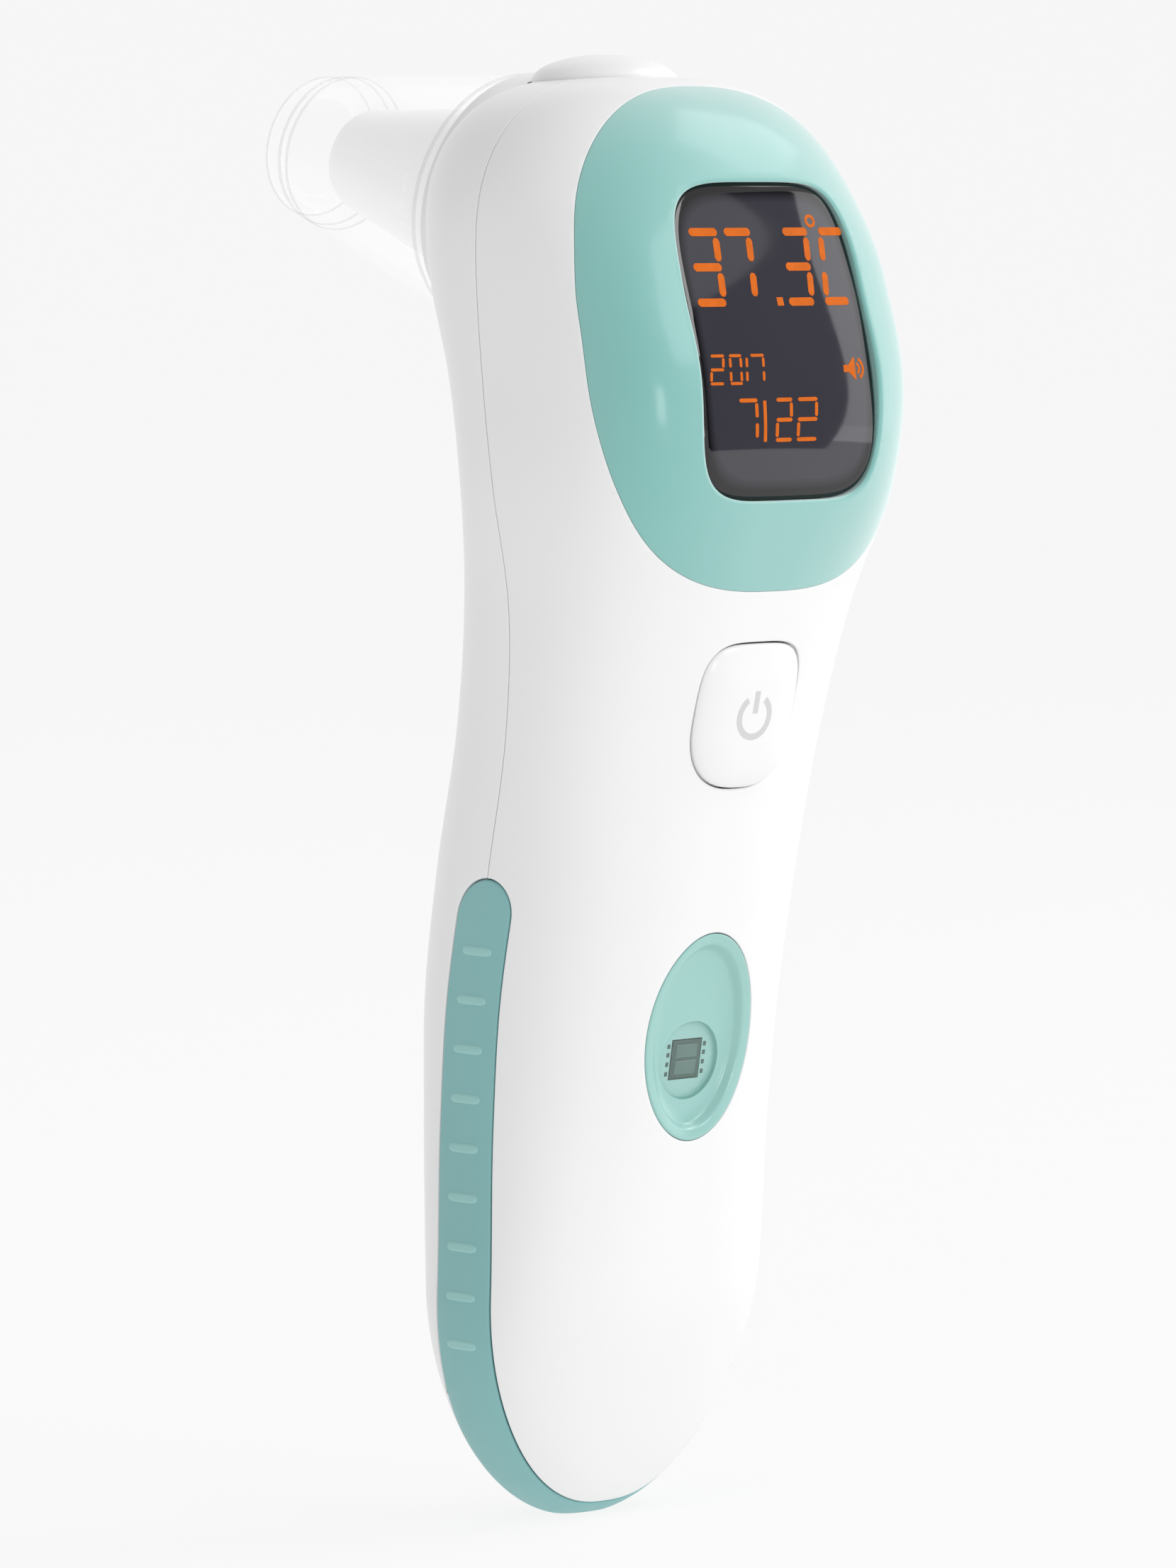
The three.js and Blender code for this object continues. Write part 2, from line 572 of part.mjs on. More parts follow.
const probeWindow = () => turned([[0, 24.1], [3.6, 24.1], [3.6, 24.8], [0, 24.8]], ROUND);
const waveguide = () => turnedRing([[2.5, 3], [2.5, 23.7], [2.0, 23.7], [2.0, 3]], SMALL_ROUND);
const sensorBlock = () => turnedRing([[4.6, -5], [4.6, 9], [2.9, 9], [2.9, -5]], SMALL_ROUND);
const thermopile = () => turned([[0, -4.5], [2.6, -4.5], [2.6, -4], [2.3, -3.7], [2.3, 2.4], [0, 2.4]], SMALL_ROUND);

// ---------------------------------------------------------------- battery bay

function batteryTray() {
  const { half, low, high, front, back, wall, end } = TRAY;
  const outside = solidOf(block(-half, half, front, back, low, high));
  const inside = solidOf(block(-half + wall, half - wall, front + wall, back + 1, low + end, high - end));
  return geometryOf(outside.subtract(inside));
}

// One cell standing along Z; up is 1 when its positive end is at the top.
function cell(up) {
  const { radius, length, nubRadius, nub } = CELL;
  const can = turned([
    [0, 0], [radius - 0.4, 0], [radius, 0.4], [radius, length - 0.4], [radius - 0.4, length],
    [nubRadius, length], [nubRadius, length + nub], [0, length + nub]], SMALL_ROUND);
  can.rotateX(Math.PI / 2);
  if (up < 0) can.rotateX(Math.PI);
  return can;
}

function coilSpring() {
  class ConeHelix extends THREE.Curve {
    getPoint(t) {
      const radius = THREE.MathUtils.lerp(SPRING.wide, SPRING.narrow, t);
      const angle = 2 * Math.PI * SPRING.turns * t;
      const reach = SPRING.length - 2 * SPRING.wire;
      return new THREE.Vector3(radius * Math.cos(angle), radius * Math.sin(angle), SPRING.wire + reach * t);
    }
  }
  const wire = new THREE.Shape(ellipseRing(SPRING.wire, SPRING.wire, (x, y) => new THREE.Vector2(x, y), 5));
  return new THREE.ExtrudeGeometry(wire, { steps: 24, extrudePath: new ConeHelix() });
}

// ---------------------------------------------------------------- boards, wires and screws

function lcdFrame() {
  const half = LCD.width / 2 + GAP;
  const tall = LCD.height / 2 + GAP;
  const ring = (grow) => [[-1, -1], [1, -1], [1, 1], [-1, 1]].map(([x, z]) => new THREE.Vector2(
    x * (half + grow), LCD_PIVOT.z + z * (tall + grow)));
  const tube = solidOf(alongY(ring(FRAME_RIM), -FAR, PCB.front - GAP))
    .subtract(solidOf(alongY(ring(0), -FAR, FAR)));
  const behindGlass = new THREE.BoxGeometry(FAR, FAR, FAR).translate(0, LCD.front + FAR / 2, 0);
  behindGlass.rotateX(LCD_TILT).translate(0, LCD_PIVOT.y, LCD_PIVOT.z);
  return geometryOf(tube.intersect(solidOf(behindGlass)));
}

// A thin flexible film with parallel faces, bent along (y, z) points.
function sensorFlex() {
  const thick = 0.3;
  const path = [[-12.8, 50], [-13.85, 56], [-14.9, 64], [-14.9, 84]];
  const outline = [...path, ...path.map(([y, z]) => [y + thick, z]).reverse()];
  return alongX(outline.map(([y, z]) => new THREE.Vector2(y, z)), -2.6, 2.6);
}

function batteryLead(side) {
  const route = new THREE.CatmullRomCurve3([
    new THREE.Vector3(side * 3.7, 0, 72.6),
    new THREE.Vector3(side * 3.8, -2, 76),
    new THREE.Vector3(side * 4.0, -8, 79.5),
    new THREE.Vector3(side * 6.2, -12.6, 83),
    new THREE.Vector3(side * 9.4, -14.4, 85),
  ]);
  const wire = new THREE.Shape(ellipseRing(0.5, 0.5, (x, y) => new THREE.Vector2(x, y), 6));
  return new THREE.ExtrudeGeometry(wire, { steps: 10, extrudePath: route });
}

// A cross-head screw along Y with its head at +Y and the underside of the head at y = 0.
function screw() {
  const { head, headHeight, shank, length, slot, slotDepth } = SCREW;
  const body = solidOf(turned([
    [0, -length], [shank * 0.4, -length], [shank, -length + 1.2], [shank, 0],
    [head, 0], [head, headHeight - 0.4], [head * 0.7, headHeight], [0, headHeight]], SMALL_ROUND));
  const reach = head * 0.62;
  const across = solidOf(block(-reach, reach, headHeight - slotDepth, headHeight + 1, -slot / 2, slot / 2));
  const down = solidOf(block(-slot / 2, slot / 2, headHeight - slotDepth, headHeight + 1, -reach, reach));
  return geometryOf(body.subtract(across).subtract(down));
}

// ---------------------------------------------------------------- assembly

function addPart(parent, name, geometry, look, place = [0, 0, 0]) {
  const mesh = new THREE.Mesh(geometry, new THREE.MeshStandardMaterial(look));
  mesh.name = name;
  mesh.position.set(...place);
  parent.add(mesh);
  return mesh;
}

function addHousing(group) {
  addPart(group, 'front_shell', frontShell(), WHITE_SHELL);
  addPart(group, 'rear_shell', rearShell(), WHITE_SHELL);
  addPart(group, 'side_band', sideBand(), BAND_TEAL);
  addPart(group, 'display_bezel', displayBezel(), TEAL);
  addPart(group, 'display_lens', displayLens(), SMOKED);
  addPart(group, 'battery_cover', batteryCover(), WHITE_SHELL);
}

function addDisplay(group) {
  const stack = new THREE.Group();
  stack.position.set(0, LCD_PIVOT.y, LCD_PIVOT.z);
  stack.rotation.x = LCD_TILT;
  const w = LCD.width / 2;
  const h = LCD.height / 2;
  addPart(stack, 'lcd_panel', block(-w, w, LCD.front, LCD.front + LCD.thick, -h, h), LCD_GLASS);
  const bw = BACKLIGHT.width / 2;
  const bh = BACKLIGHT.height / 2;
  addPart(stack, 'lcd_backlight', block(
    -bw, bw, BACKLIGHT.front, BACKLIGHT.front + BACKLIGHT.thick, BACKLIGHT.up - bh, BACKLIGHT.up + bh), LIGHT_GUIDE);
  addPart(stack, 'lcd_contact_strip', block(
    -CONTACT_STRIP.half, CONTACT_STRIP.half, BACKLIGHT.front, CONTACT_STRIP.back, CONTACT_STRIP.low, CONTACT_STRIP.high), GREY_RUBBER);
  group.add(stack);
  addPart(group, 'lcd_frame', lcdFrame(), BLACK_PLASTIC);
}

function addBoards(group) {
  const back = PCB.front + PCB.thick;
  addPart(group, 'main_pcb', block(-PCB.halfWidth, PCB.halfWidth, PCB.front, back, PCB.low, PCB.high), BOARD_GREEN);
  addPart(group, 'microcontroller', block(-4, 4, back + SEATED, back + 1.3, 108, 116), BLACK_PLASTIC);
  addPart(group, 'memory_chip', block(5.6, 9.6, back + SEATED, back + 1.2, 109, 114), BLACK_PLASTIC);
  addPart(group, 'crystal', block(-9.6, -6.4, back + SEATED, back + 1.4, 106, 114), STEEL);
  addPart(group, 'speaker', barAlongY(0, SPEAKER.z, SPEAKER.radius, back + SEATED, back + SPEAKER.thick, ROUND), BLACK_PLASTIC);
  addPart(group, 'sensor_flex', sensorFlex(), FLEX_FILM);
  addPart(group, 'battery_lead_plus', batteryLead(1), RED_WIRE);
  addPart(group, 'battery_lead_minus', batteryLead(-1), BLACK_WIRE);
}

function addButtons(group) {
  addPart(group, 'power_button', powerButton(), WHITE_SHELL);
  addPart(group, 'front_tact_switch', frontSwitch(), BLACK_PLASTIC);
  addPart(group, 'scan_button', scanButton(), WHITE_SHELL);
  addPart(group, 'top_tact_switch', scanSwitch(), BLACK_PLASTIC);
  const half = SCAN_BOARD.width / 2;
  addPart(group, 'top_switch_board', block(
    -half, half, SCAN_BOARD.y0, SCAN_BOARD.y1, SCAN_BOARD.z, SCAN_BOARD.z + SCAN_BOARD.thick), BOARD_GREEN);
}

function addPulseSensor(group) {
  addPart(group, 'finger_dish', fingerDish(), TEAL);
  const stack = new THREE.Group();
  stack.position.set(0, frontSkin(0, PULSE.z) + DISH.depth, PULSE.z);
  stack.rotation.x = PULSE.tilt;
  addPart(stack, 'sensor_window', barAlongY(0, 0, PULSE.radius, 0.1, 0.1 + PULSE.thick, ROUND), CLEAR);
  const chipFront = 0.1 + PULSE.thick + GAP;
  const s = CHIP.size / 2;
  addPart(stack, 'pulse_sensor_chip', block(-s, s, chipFront, chipFront + CHIP.thick, -s, s), BLACK_PLASTIC);
  const boardFront = chipFront + CHIP.thick + SEATED;
  addPart(stack, 'sensor_board', block(
    -SENSOR_BOARD.width / 2, SENSOR_BOARD.width / 2, boardFront, boardFront + SENSOR_BOARD.thick,
    -SENSOR_BOARD.height / 2, SENSOR_BOARD.height / 2), BOARD_GREEN);
  group.add(stack);
}

function addProbe(group) {
  const probe = new THREE.Group();
  probe.position.set(0, PROBE_Y, PROBE_Z);
  probe.rotation.x = PROBE_TILT;
  addPart(probe, 'ear_probe', earProbe(), WHITE_SHELL);
  addPart(probe, 'probe_window', probeWindow(), SMOKED);
  addPart(probe, 'probe_cap', probeCap(), CLEAR);
  addPart(probe, 'waveguide_tube', waveguide(), BRASS);
  addPart(probe, 'sensor_block', sensorBlock(), ALUMINIUM);
  addPart(probe, 'thermopile_sensor', thermopile(), STEEL);
  group.add(probe);
}

function addBatteries(group) {
  const { x, y, length, nub } = CELL;
  const plateLow = TRAY.low + TRAY.end + SEATED;
  const plateHigh = TRAY.high - TRAY.end - SEATED;
  const cellLow = plateLow + CONTACT.thick + SPRING.length + 2 * SEATED;
  const cellHigh = plateHigh - CONTACT.thick - SPRING.length - 2 * SEATED;
  const half = CONTACT.size / 2;
  addPart(group, 'battery_tray', batteryTray(), BLACK_PLASTIC);
  addPart(group, 'battery_1', cell(1), CELL_WRAP, [-x, y, cellLow]);
  addPart(group, 'battery_2', cell(-1), CELL_WRAP, [x, y, cellHigh]);
  addPart(group, 'battery_spring_1', coilSpring(), STEEL, [-x, y, plateLow + CONTACT.thick + SEATED]);
  const upper = coilSpring().rotateX(Math.PI);
  addPart(group, 'battery_spring_2', upper, STEEL, [x, y, plateHigh - CONTACT.thick - SEATED]);
  const bottom = block(-x - half, x + half, y - half, y + half, plateLow, plateLow + CONTACT.thick);
  addPart(group, 'contact_plate_bottom', bottom, STEEL);
  [['contact_plate_plus', -x], ['contact_plate_minus', x]].forEach(([name, middle]) => {
    const plate = block(middle - half, middle + half, y - half, y + half, plateHigh - CONTACT.thick, plateHigh);
    addPart(group, name, plate, STEEL);
  });
  const spare = cellHigh - length - nub - plateLow - CONTACT.thick;
  if (spare < 0) throw new Error('the cells do not fit between the contact plates');
}

function addScrews(group) {
  screwPlaces().forEach(({ x, z, seat }, i) => {
    addPart(group, `screw_${i + 1}`, screw(), STEEL, [x, seat + SEATED, z]);
  });
}

const group = new THREE.Group();
addHousing(group);
addDisplay(group);
addBoards(group);
addButtons(group);
addPulseSensor(group);
addProbe(group);
addBatteries(group);
addScrews(group);

export default group;
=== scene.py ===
# The looks of a digital ear thermometer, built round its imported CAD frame.
#
# Shapes are worked out in millimetres in the frame's own axes and become metres in make_piece.
# +Z is up along the handle, the display faces -Y and the ear probe points to +Y. The outer
# pieces are fine versions of the CAD ones, cut from the same smooth body form.

import json
import math

import bpy
import bmesh
import numpy as np
from mathutils import Matrix, Vector

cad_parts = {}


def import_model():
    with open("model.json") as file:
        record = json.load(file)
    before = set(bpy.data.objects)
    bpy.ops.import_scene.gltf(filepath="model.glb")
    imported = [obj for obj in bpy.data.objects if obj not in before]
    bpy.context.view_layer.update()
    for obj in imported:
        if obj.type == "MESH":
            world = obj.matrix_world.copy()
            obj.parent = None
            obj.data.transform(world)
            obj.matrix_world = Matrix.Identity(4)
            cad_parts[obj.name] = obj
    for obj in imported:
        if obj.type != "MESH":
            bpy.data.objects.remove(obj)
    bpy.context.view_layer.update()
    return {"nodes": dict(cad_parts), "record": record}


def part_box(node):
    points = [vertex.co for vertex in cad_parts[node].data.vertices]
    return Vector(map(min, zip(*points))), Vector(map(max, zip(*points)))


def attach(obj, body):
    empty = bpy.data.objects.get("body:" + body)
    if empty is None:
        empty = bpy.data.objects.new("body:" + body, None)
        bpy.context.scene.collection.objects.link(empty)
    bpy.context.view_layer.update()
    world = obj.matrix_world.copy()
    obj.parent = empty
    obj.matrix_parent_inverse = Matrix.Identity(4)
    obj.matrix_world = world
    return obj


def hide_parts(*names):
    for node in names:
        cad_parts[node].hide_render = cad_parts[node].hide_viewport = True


MM = 0.001

# ---------------------------------------------------------------- dimensions, in millimetres

# Body form. Columns: height, half width, parting line y, front y, back y, and the squareness
# (superellipse exponent) of the front and back halves of the section.
STATIONS = np.array([
    [0, 18.2, 0.0, -11.0, 9.0, 2.4, 2.4],
    [12, 18.6, -1.5, -12.3, 9.7, 2.4, 2.4],
    [24, 18.7, -2.6, -14.5, 10.7, 2.6, 2.4],
    [42, 18.2, -2.7, -17.3, 11.9, 2.6, 2.4],
    [54, 18.0, -3.5, -19.3, 12.3, 2.6, 2.4],
    [68, 18.3, -6.5, -21.9, 10.3, 2.5, 2.4],
    [82, 19.2, -10.1, -24.7, 6.5, 2.4, 2.4],
    [95, 20.3, -11.7, -28.4, 4.1, 2.6, 2.4],
    [107, 21.9, -11.1, -32.0, 2.3, 3.4, 2.4],
    [118, 22.2, -9.9, -32.2, 3.9, 4.0, 2.4],
    [127, 22.4, -9.3, -29.6, 7.5, 3.8, 2.4],
    [136, 22.4, -9.1, -27.6, 8.6, 2.7, 2.5],
    [148, 20.8, -8.7, -25.2, 7.0, 2.3, 2.8],
])
BODY_BOTTOM = -0.5  # lowest point of the rounded form before the base flat is cut at z = 0
BODY_TOP = 148.0
BOTTOM_ROUND = 25.0
TOP_ROUND = 21.0
BOTTOM_SQUARENESS = 2.0
TOP_SQUARENESS = 3.0
TOP_BACK_SQUARENESS = 4.5
WALL = 2.2
FAR = 60.0  # past everything, for cutting shapes
UNDER = (-FAR, -FAR, -20.0), (FAR, FAR, 0.0)  # what the flat under the handle cuts away

FRONT_SIDE = -1
BACK_SIDE = 1

# Panels in the front or back skin: middle height, half width, reach up and down, and the
# squareness of the upper and lower half of the outline
BEZEL = (123.0, 21.25, 23.95, 26.65, 2.45, 2.8)
WINDOW = (121.5, 12.25, 15.8, 15.95, 5.0, 5.2)
BUTTON = (83.7, 6.8, 7.4, 7.4, 4.0, 2.6)
COVER = (46.0, 12.6, 34.0, 34.0, 6.0, 6.0)
BEZEL_BACK = -13.0
LENS_INSET = 0.7
LENS_THICK = 1.2
BUTTON_EDGE = -0.15  # how far the rim of the rounded face stands off the skin
BUTTON_DOME = 1.35  # how much higher its middle stands than its rim
BUTTON_ROUNDING = 3.0  # power of the fall from the middle to the rim
BUTTON_LEAN = 0.045  # slope of the face, whose upper end leans back
BUTTON_FLANGE = (-20.7, -19.5, 1.0)  # front, back and how far it reaches past the plunger
COVER_THICK = 1.8
COVER_INNER_LIMIT = 3.2
COVER_HOLE_FRONT = 2.8
COVER_GRIP = (6, 68.0, 1.7, 5.2, 0.25)  # grip lines: count, lowest z, pitch, half length, shortening
COVER_GRIP_SEAM = (0.12, 0.3, 0.35)

# Side band
BAND_HALF = 4.0
BAND_TOP = 67.0
RIB_COUNT = 9
RIB_FIRST = 19.1
RIB_PITCH = 5.06
RIB_LENGTH = 4.4
RIB_HEIGHT = 1.0
RIB_PROUD = 0.15
# Rings of a rib: height as a share of RIB_PROUD, and how far its outline has shrunk
RIB_LEVELS = ((-2.0, 0.0), (0.0, 0.0), (0.5, 0.08), (0.85, 0.22), (1.0, 0.38))

# Scan button on the top of the head
SCAN_Y = -4.2
SCAN_HALF_X = 7.5
SCAN_HALF_Y = 7.4
SCAN_FLANGE = (142.9, 143.9, 1.0)  # low, high and how far it reaches past the dome's side
SCAN_SHOULDER = 147.6
SCAN_TOP = 150.28
SCAN_GAP = (0.1, 0.25, 0.6)  # the seam round it, as the seams below
SCAN_HOLE = (0.2, 140.0, 155.0)  # room round the dome, and the low and high end of its hole

# Fingertip dish with its optical pulse sensor
DISH_Z = 50.6
DISH_HALF_X = 7.2
DISH_HALF_Z = 10.7
DISH_DEPTH = 1.5
DISH_THICK = 1.2
DISH_HOLE = (0.05, -8.0)  # room round the dish, and the back of its hole
DISH_RIM = 0.9  # width of the sloping rim round the bowl
DISH_RIM_DEPTH = 0.2
DISH_WALL = 1.0  # width of the steeper wall inside the rim
DISH_WALL_DEPTH = 1.15
PULSE_Z = 48.1
PULSE_RADIUS = 3.9
PULSE_TILT = math.radians(9.7)
PULSE_WINDOW_THICK = 0.4
PULSE_BEHIND = PULSE_WINDOW_THICK + 0.15  # depth of the sensor's face behind the bottom of the dish
CHIP_SIZE = 4.0
PAD_ROWS = (-1.45, -0.45, 0.55, 1.45)
SYMBOL = (83.6, 2.05, 0.32, math.radians(34))  # power sign: middle height, radius, half stroke, half gap

# Ear probe and its cap, turned about one tilted axis
PROBE_Y = 8.5
PROBE_Z = 135.0
PROBE_TILT = math.radians(11)
NOSE_MOUTH = 13.9
NOSE_TAPER = 1.1 / 12
NOSE_FILLET = 4.2
NOSE_ROLL = 0.35
PROBE_BORE = 11.9
# Ridges round the cap: radius, distance along it and width
CAP_RIDGES = ((13.33, 1.3, 0.5), (8.14, 27.8, 0.35), (7.9, 29.2, 0.4), (7.42, 31.9, 0.25))
CAP_GRIP = (3.0, 1.6, 5.3, 12.7, 0.7)  # along, length, across, radius and how far it stands out

# Battery bay
CELL_RADIUS = 5.25
CELL_LENGTH = 43.3
CELL_NUB = (1.9, 1.2)
LEDGES = ((13.4, 20.0, 4.0, 16.7), (72.2, 79.8, 2.8, 75.0))  # low, high, back face, screw height
LEDGE_THICK = 1.6
LEDGE_HALF_WIDTH = 17.0
SCREW_X = 9.2
POST_RADIUS = 2.5
POST_HOLE = 1.1
POST_DEPTH = 11.0
LEDGE_HOLE = 1.2
HOLE_FRONT = -2.0
SCREW_HEAD = (1.7, 1.2)
SCREW_SHANK = (0.8, 10.5)
SCREW_SLOT = (1.05, 0.25, 0.7)  # half length, half width and depth of its cross recess
SPRING = (0.28, 1.7, 4.5)  # wire radius, radius of the narrow end, turns
GRILLE = (97.0, 3.4, 0.65, 6)  # height, ring radius, hole radius, holes in the ring
GRILLE_FLARE = ((0.0, -0.35), (0.1, -0.12), (0.35, 0.1), (0.35, FAR))  # wider, and out from the skin

# Seams between outer pieces: half the gap, the radius of the rolled edges, and the depth
SEAM = (0.05, 0.12, 0.9)
BAND_SEAM = (0.08, 0.22, 0.9)
BEZEL_SEAM = (0.015, 0.08, 0.3)
BUTTON_SEAM = (0.05, 0.12, 0.5)
COVER_SEAM = (0.12, 0.3, 1.0)
DISH_SEAM = (0.03, 0.15, 0.5)
WINDOW_LIP = (0.05, 0.5, 0.5)

# Fineness of the meshes
SKIN_STEP = 0.7
QUARTER_STEPS = 44
LINING_STEP = 1.6
LINING_QUARTER = 20
PATH_STEP = 0.45
ROUND = 128
SMALL_ROUND = 48


# ---------------------------------------------------------------- body form

def station_curve(column):
    """A smooth curve through the stations: piecewise cubic, with slopes blended at each one."""
    z = STATIONS[:, 0]
    value = STATIONS[:, column]
    span = np.diff(z)
    slope = np.diff(value) / span
    tangent = np.empty(len(z))
    tangent[0] = slope[0]
    tangent[-1] = slope[-1]
    tangent[1:-1] = (slope[:-1] * span[1:] + slope[1:] * span[:-1]) / (span[:-1] + span[1:])

    def curve(height):
        h = np.clip(height, z[0], BODY_TOP)
        i = np.clip(np.searchsorted(z, h, side="left") - 1, 0, len(z) - 2)
        t = (h - z[i]) / span[i]
        ease = t * t * (3 - 2 * t)
        bend = tangent[i] * t * (1 - t) ** 2 - tangent[i + 1] * t * t * (1 - t)
        return value[i] * (1 - ease) + value[i + 1] * ease + span[i] * bend

    return curve


half_width_at, parting_at, front_at, back_at, front_square, back_square = (
    station_curve(column) for column in range(1, 7))


def quarter_round(t, squareness):
    return (1 - np.clip(t, 0, 1) ** squareness) ** (1 / squareness)


def end_scale(z, inset, top_squareness):
    """How far the rounded ends have closed: 1 in the middle of the body and 0 at its ends."""
    below = (BODY_BOTTOM + inset + BOTTOM_ROUND - z) / BOTTOM_ROUND
    above = (z - BODY_TOP + inset + TOP_ROUND) / TOP_ROUND
    return quarter_round(below, BOTTOM_SQUARENESS) * quarter_round(above, top_squareness)


def section(z, inset=0.0):
    """Half width, parting y, and the reach to the front and to the back at a height."""
    close = end_scale(z, inset, TOP_SQUARENESS)
    close_back = end_scale(z, inset, TOP_BACK_SQUARENESS)
    middle = parting_at(z)
    to_front = (middle - front_at(z) - inset) * close
    to_back = (back_at(z) - middle - inset) * close_back
    return (half_width_at(z) - inset) * close, middle, to_front, to_back


def skin_y(x, z, side, inset=0.0):
    """The y of the front or back skin at a point seen from that side."""
    half, middle, to_front, to_back = section(z, inset)
    reach = to_front if side < 0 else to_back
    squareness = front_square(z) if side < 0 else back_square(z)
    return middle + side * reach * quarter_round(np.abs(x) / half, squareness)


def section_half(y, z):
    """Half width and parting y, and the reach and squareness of the half that a point lies in."""
    half, middle, to_front, to_back = section(z)
    front = y < middle
    reach = np.where(front, to_front, to_back)
    return half, middle, reach, np.where(front, front_square(z), back_square(z))


def skin_x(y, z):
    """The x of the skin on the +X side."""
    half, middle, reach, squareness = section_half(y, z)
    return half * quarter_round(np.abs(y - middle) / reach, squareness)


def skin_level(points):
    """1 on the skin, less inside the body and more outside."""
    x, y, z = points[..., 0], points[..., 1], points[..., 2]
    half, middle, reach, squareness = section_half(y, z)
    tiny = 1e-6
    across = np.abs(x) / np.maximum(half, tiny)
    deep = np.abs(y - middle) / np.maximum(reach, tiny)
    return across ** squareness + deep ** squareness


def skin_normals(points):
    step = 0.01
    slopes = []
    for axis in range(3):
        move = np.zeros(3)
        move[axis] = step
        slopes.append(skin_level(points + move) - skin_level(points - move))
    return unit(np.stack(slopes, axis=-1))


def unit(vectors):
    return vectors / np.linalg.norm(vectors, axis=-1, keepdims=True)


def top_z(x, y):
    """The height of the top skin over a point, by halving."""
    low = np.full(np.shape(x), BODY_TOP - TOP_ROUND)
    high = np.full(np.shape(x), BODY_TOP)
    for _ in range(40):
        middle = (low + high) / 2
        inside = skin_level(np.stack([x, y, middle], axis=-1)) < 1
        low = np.where(inside, middle, low)
        high = np.where(inside, high, middle)
    return low


# ---------------------------------------------------------------- outlines and paths

def signed_power(value, power):
    return np.sign(value) * np.abs(value) ** power


def run_along(line):
    """The length from a polyline's first point to each of its points."""
    return np.concatenate([[0], np.cumsum(np.linalg.norm(np.diff(line, axis=0), axis=1))])


def resample(points, spacing, closed=False):
    """The same polyline with even steps of about the spacing."""
    line = np.vstack([points, points[:1]]) if closed else np.asarray(points, float)
    run = run_along(line)
    count = max(8, round(run[-1] / spacing))
    even = np.linspace(0, run[-1], count + 1)
    if closed:
        even = even[:-1]
    return np.column_stack([np.interp(even, run, line[:, axis]) for axis in range(line.shape[1])])


def panel_outline(panel, grow=0.0, spacing=PATH_STEP):
    """A rounded-square outline in (x, z)."""
    z, half, up, down, square_up, square_down = panel
    angle = np.linspace(0, 2 * np.pi, 4000, endpoint=False)
    across = np.cos(angle)
    high = np.sin(angle)
    power = np.where(high > 0, 2 / square_up, 2 / square_down)
    reach = np.where(high > 0, up, down) + grow
    outline = np.column_stack([
        (half + grow) * signed_power(across, power), z + reach * signed_power(high, power)])
    return resample(outline, spacing, closed=True)


def ellipse(half_x, half_other, middle, count=ROUND):
    angle = np.linspace(0, 2 * np.pi, count, endpoint=False)
    return np.column_stack([half_x * np.cos(angle), middle + half_other * np.sin(angle)])


def on_skin(outline, side, inset=0.0):
    """Lifts an (x, z) outline onto the front or back skin."""
    x, z = outline[:, 0], outline[:, 1]
    return np.column_stack([x, skin_y(x, z, side, inset), z])


def band_edge(offset):
    """One edge of the band, from its shoulder on +X, under the body, to its shoulder on -X."""
    shoulder = BAND_TOP - BAND_HALF
    heights = 0.02 + (shoulder - 0.02) * np.linspace(1, 0, 4000) ** 2
    half, middle, to_front, to_back = section(heights)
    reach = to_front if offset < 0 else to_back
    squareness = front_square(heights) if offset < 0 else back_square(heights)
    inside = abs(offset) < reach
    heights, half, middle = heights[inside], half[inside], middle[inside]
    x = half * quarter_round(abs(offset) / reach[inside], squareness[inside])
    right = np.column_stack([x, middle + offset, heights])
    left = right[::-1] * np.array([-1, 1, 1])
    return np.vstack([right, left[1:]])


def band_arc(side):
    """The round upper end of the band, from its front edge to its back edge."""
    shoulder = BAND_TOP - BAND_HALF
    angle = np.linspace(np.pi, 0, 60)
    z = shoulder + BAND_HALF * np.sin(angle)
    y = parting_at(z) + BAND_HALF * np.cos(angle)
    return np.column_stack([side * skin_x(y, z), y, z])


def band_path():
    """The whole edge of the band as one closed loop on the skin."""
    front = band_edge(-BAND_HALF)
    back = band_edge(BAND_HALF)
    loop = np.vstack([front, band_arc(-1)[1:-1], back[::-1], band_arc(1)[::-1][1:-1]])
    return resample(loop, PATH_STEP, closed=True)


def band_outline(grow):
    """The band's outline in (y, z): it follows the parting line and has a round upper end."""
    half = BAND_HALF + grow
    shoulder = BAND_TOP - BAND_HALF
    z = np.linspace(-5, shoulder, 120)
    angle = np.linspace(np.pi, 0, 40)[1:-1]
    arc_z = shoulder + half * np.sin(angle)
    front = np.column_stack([parting_at(z) - half, z])
    arc = np.column_stack([parting_at(arc_z) + half * np.cos(angle), arc_z])
    back = np.column_stack([parting_at(z) + half, z])[::-1]
    return np.vstack([front, arc, back])


def level_heights(inset, spacing):
    """Heights of the body's rings, evenly spaced along its side outline."""
    low = BODY_BOTTOM + inset
    high = BODY_TOP - inset
    turn = np.linspace(0.02, np.pi / 2, 900)
    bottom = low + BOTTOM_ROUND * (1 - np.cos(turn))
    middle = np.linspace(bottom[-1], high - TOP_ROUND, 900)[1:-1]
    close = np.linspace(1, 0.004, 1800) ** 1.4
    top = high - TOP_ROUND + TOP_ROUND * (1 - close ** 2) ** (1 / TOP_SQUARENESS)
    z = np.concatenate([bottom, middle, top])
    run = run_along(np.column_stack([section(z, inset)[0], z]))
    return np.interp(np.linspace(0, run[-1], round(run[-1] / spacing)), run, z)


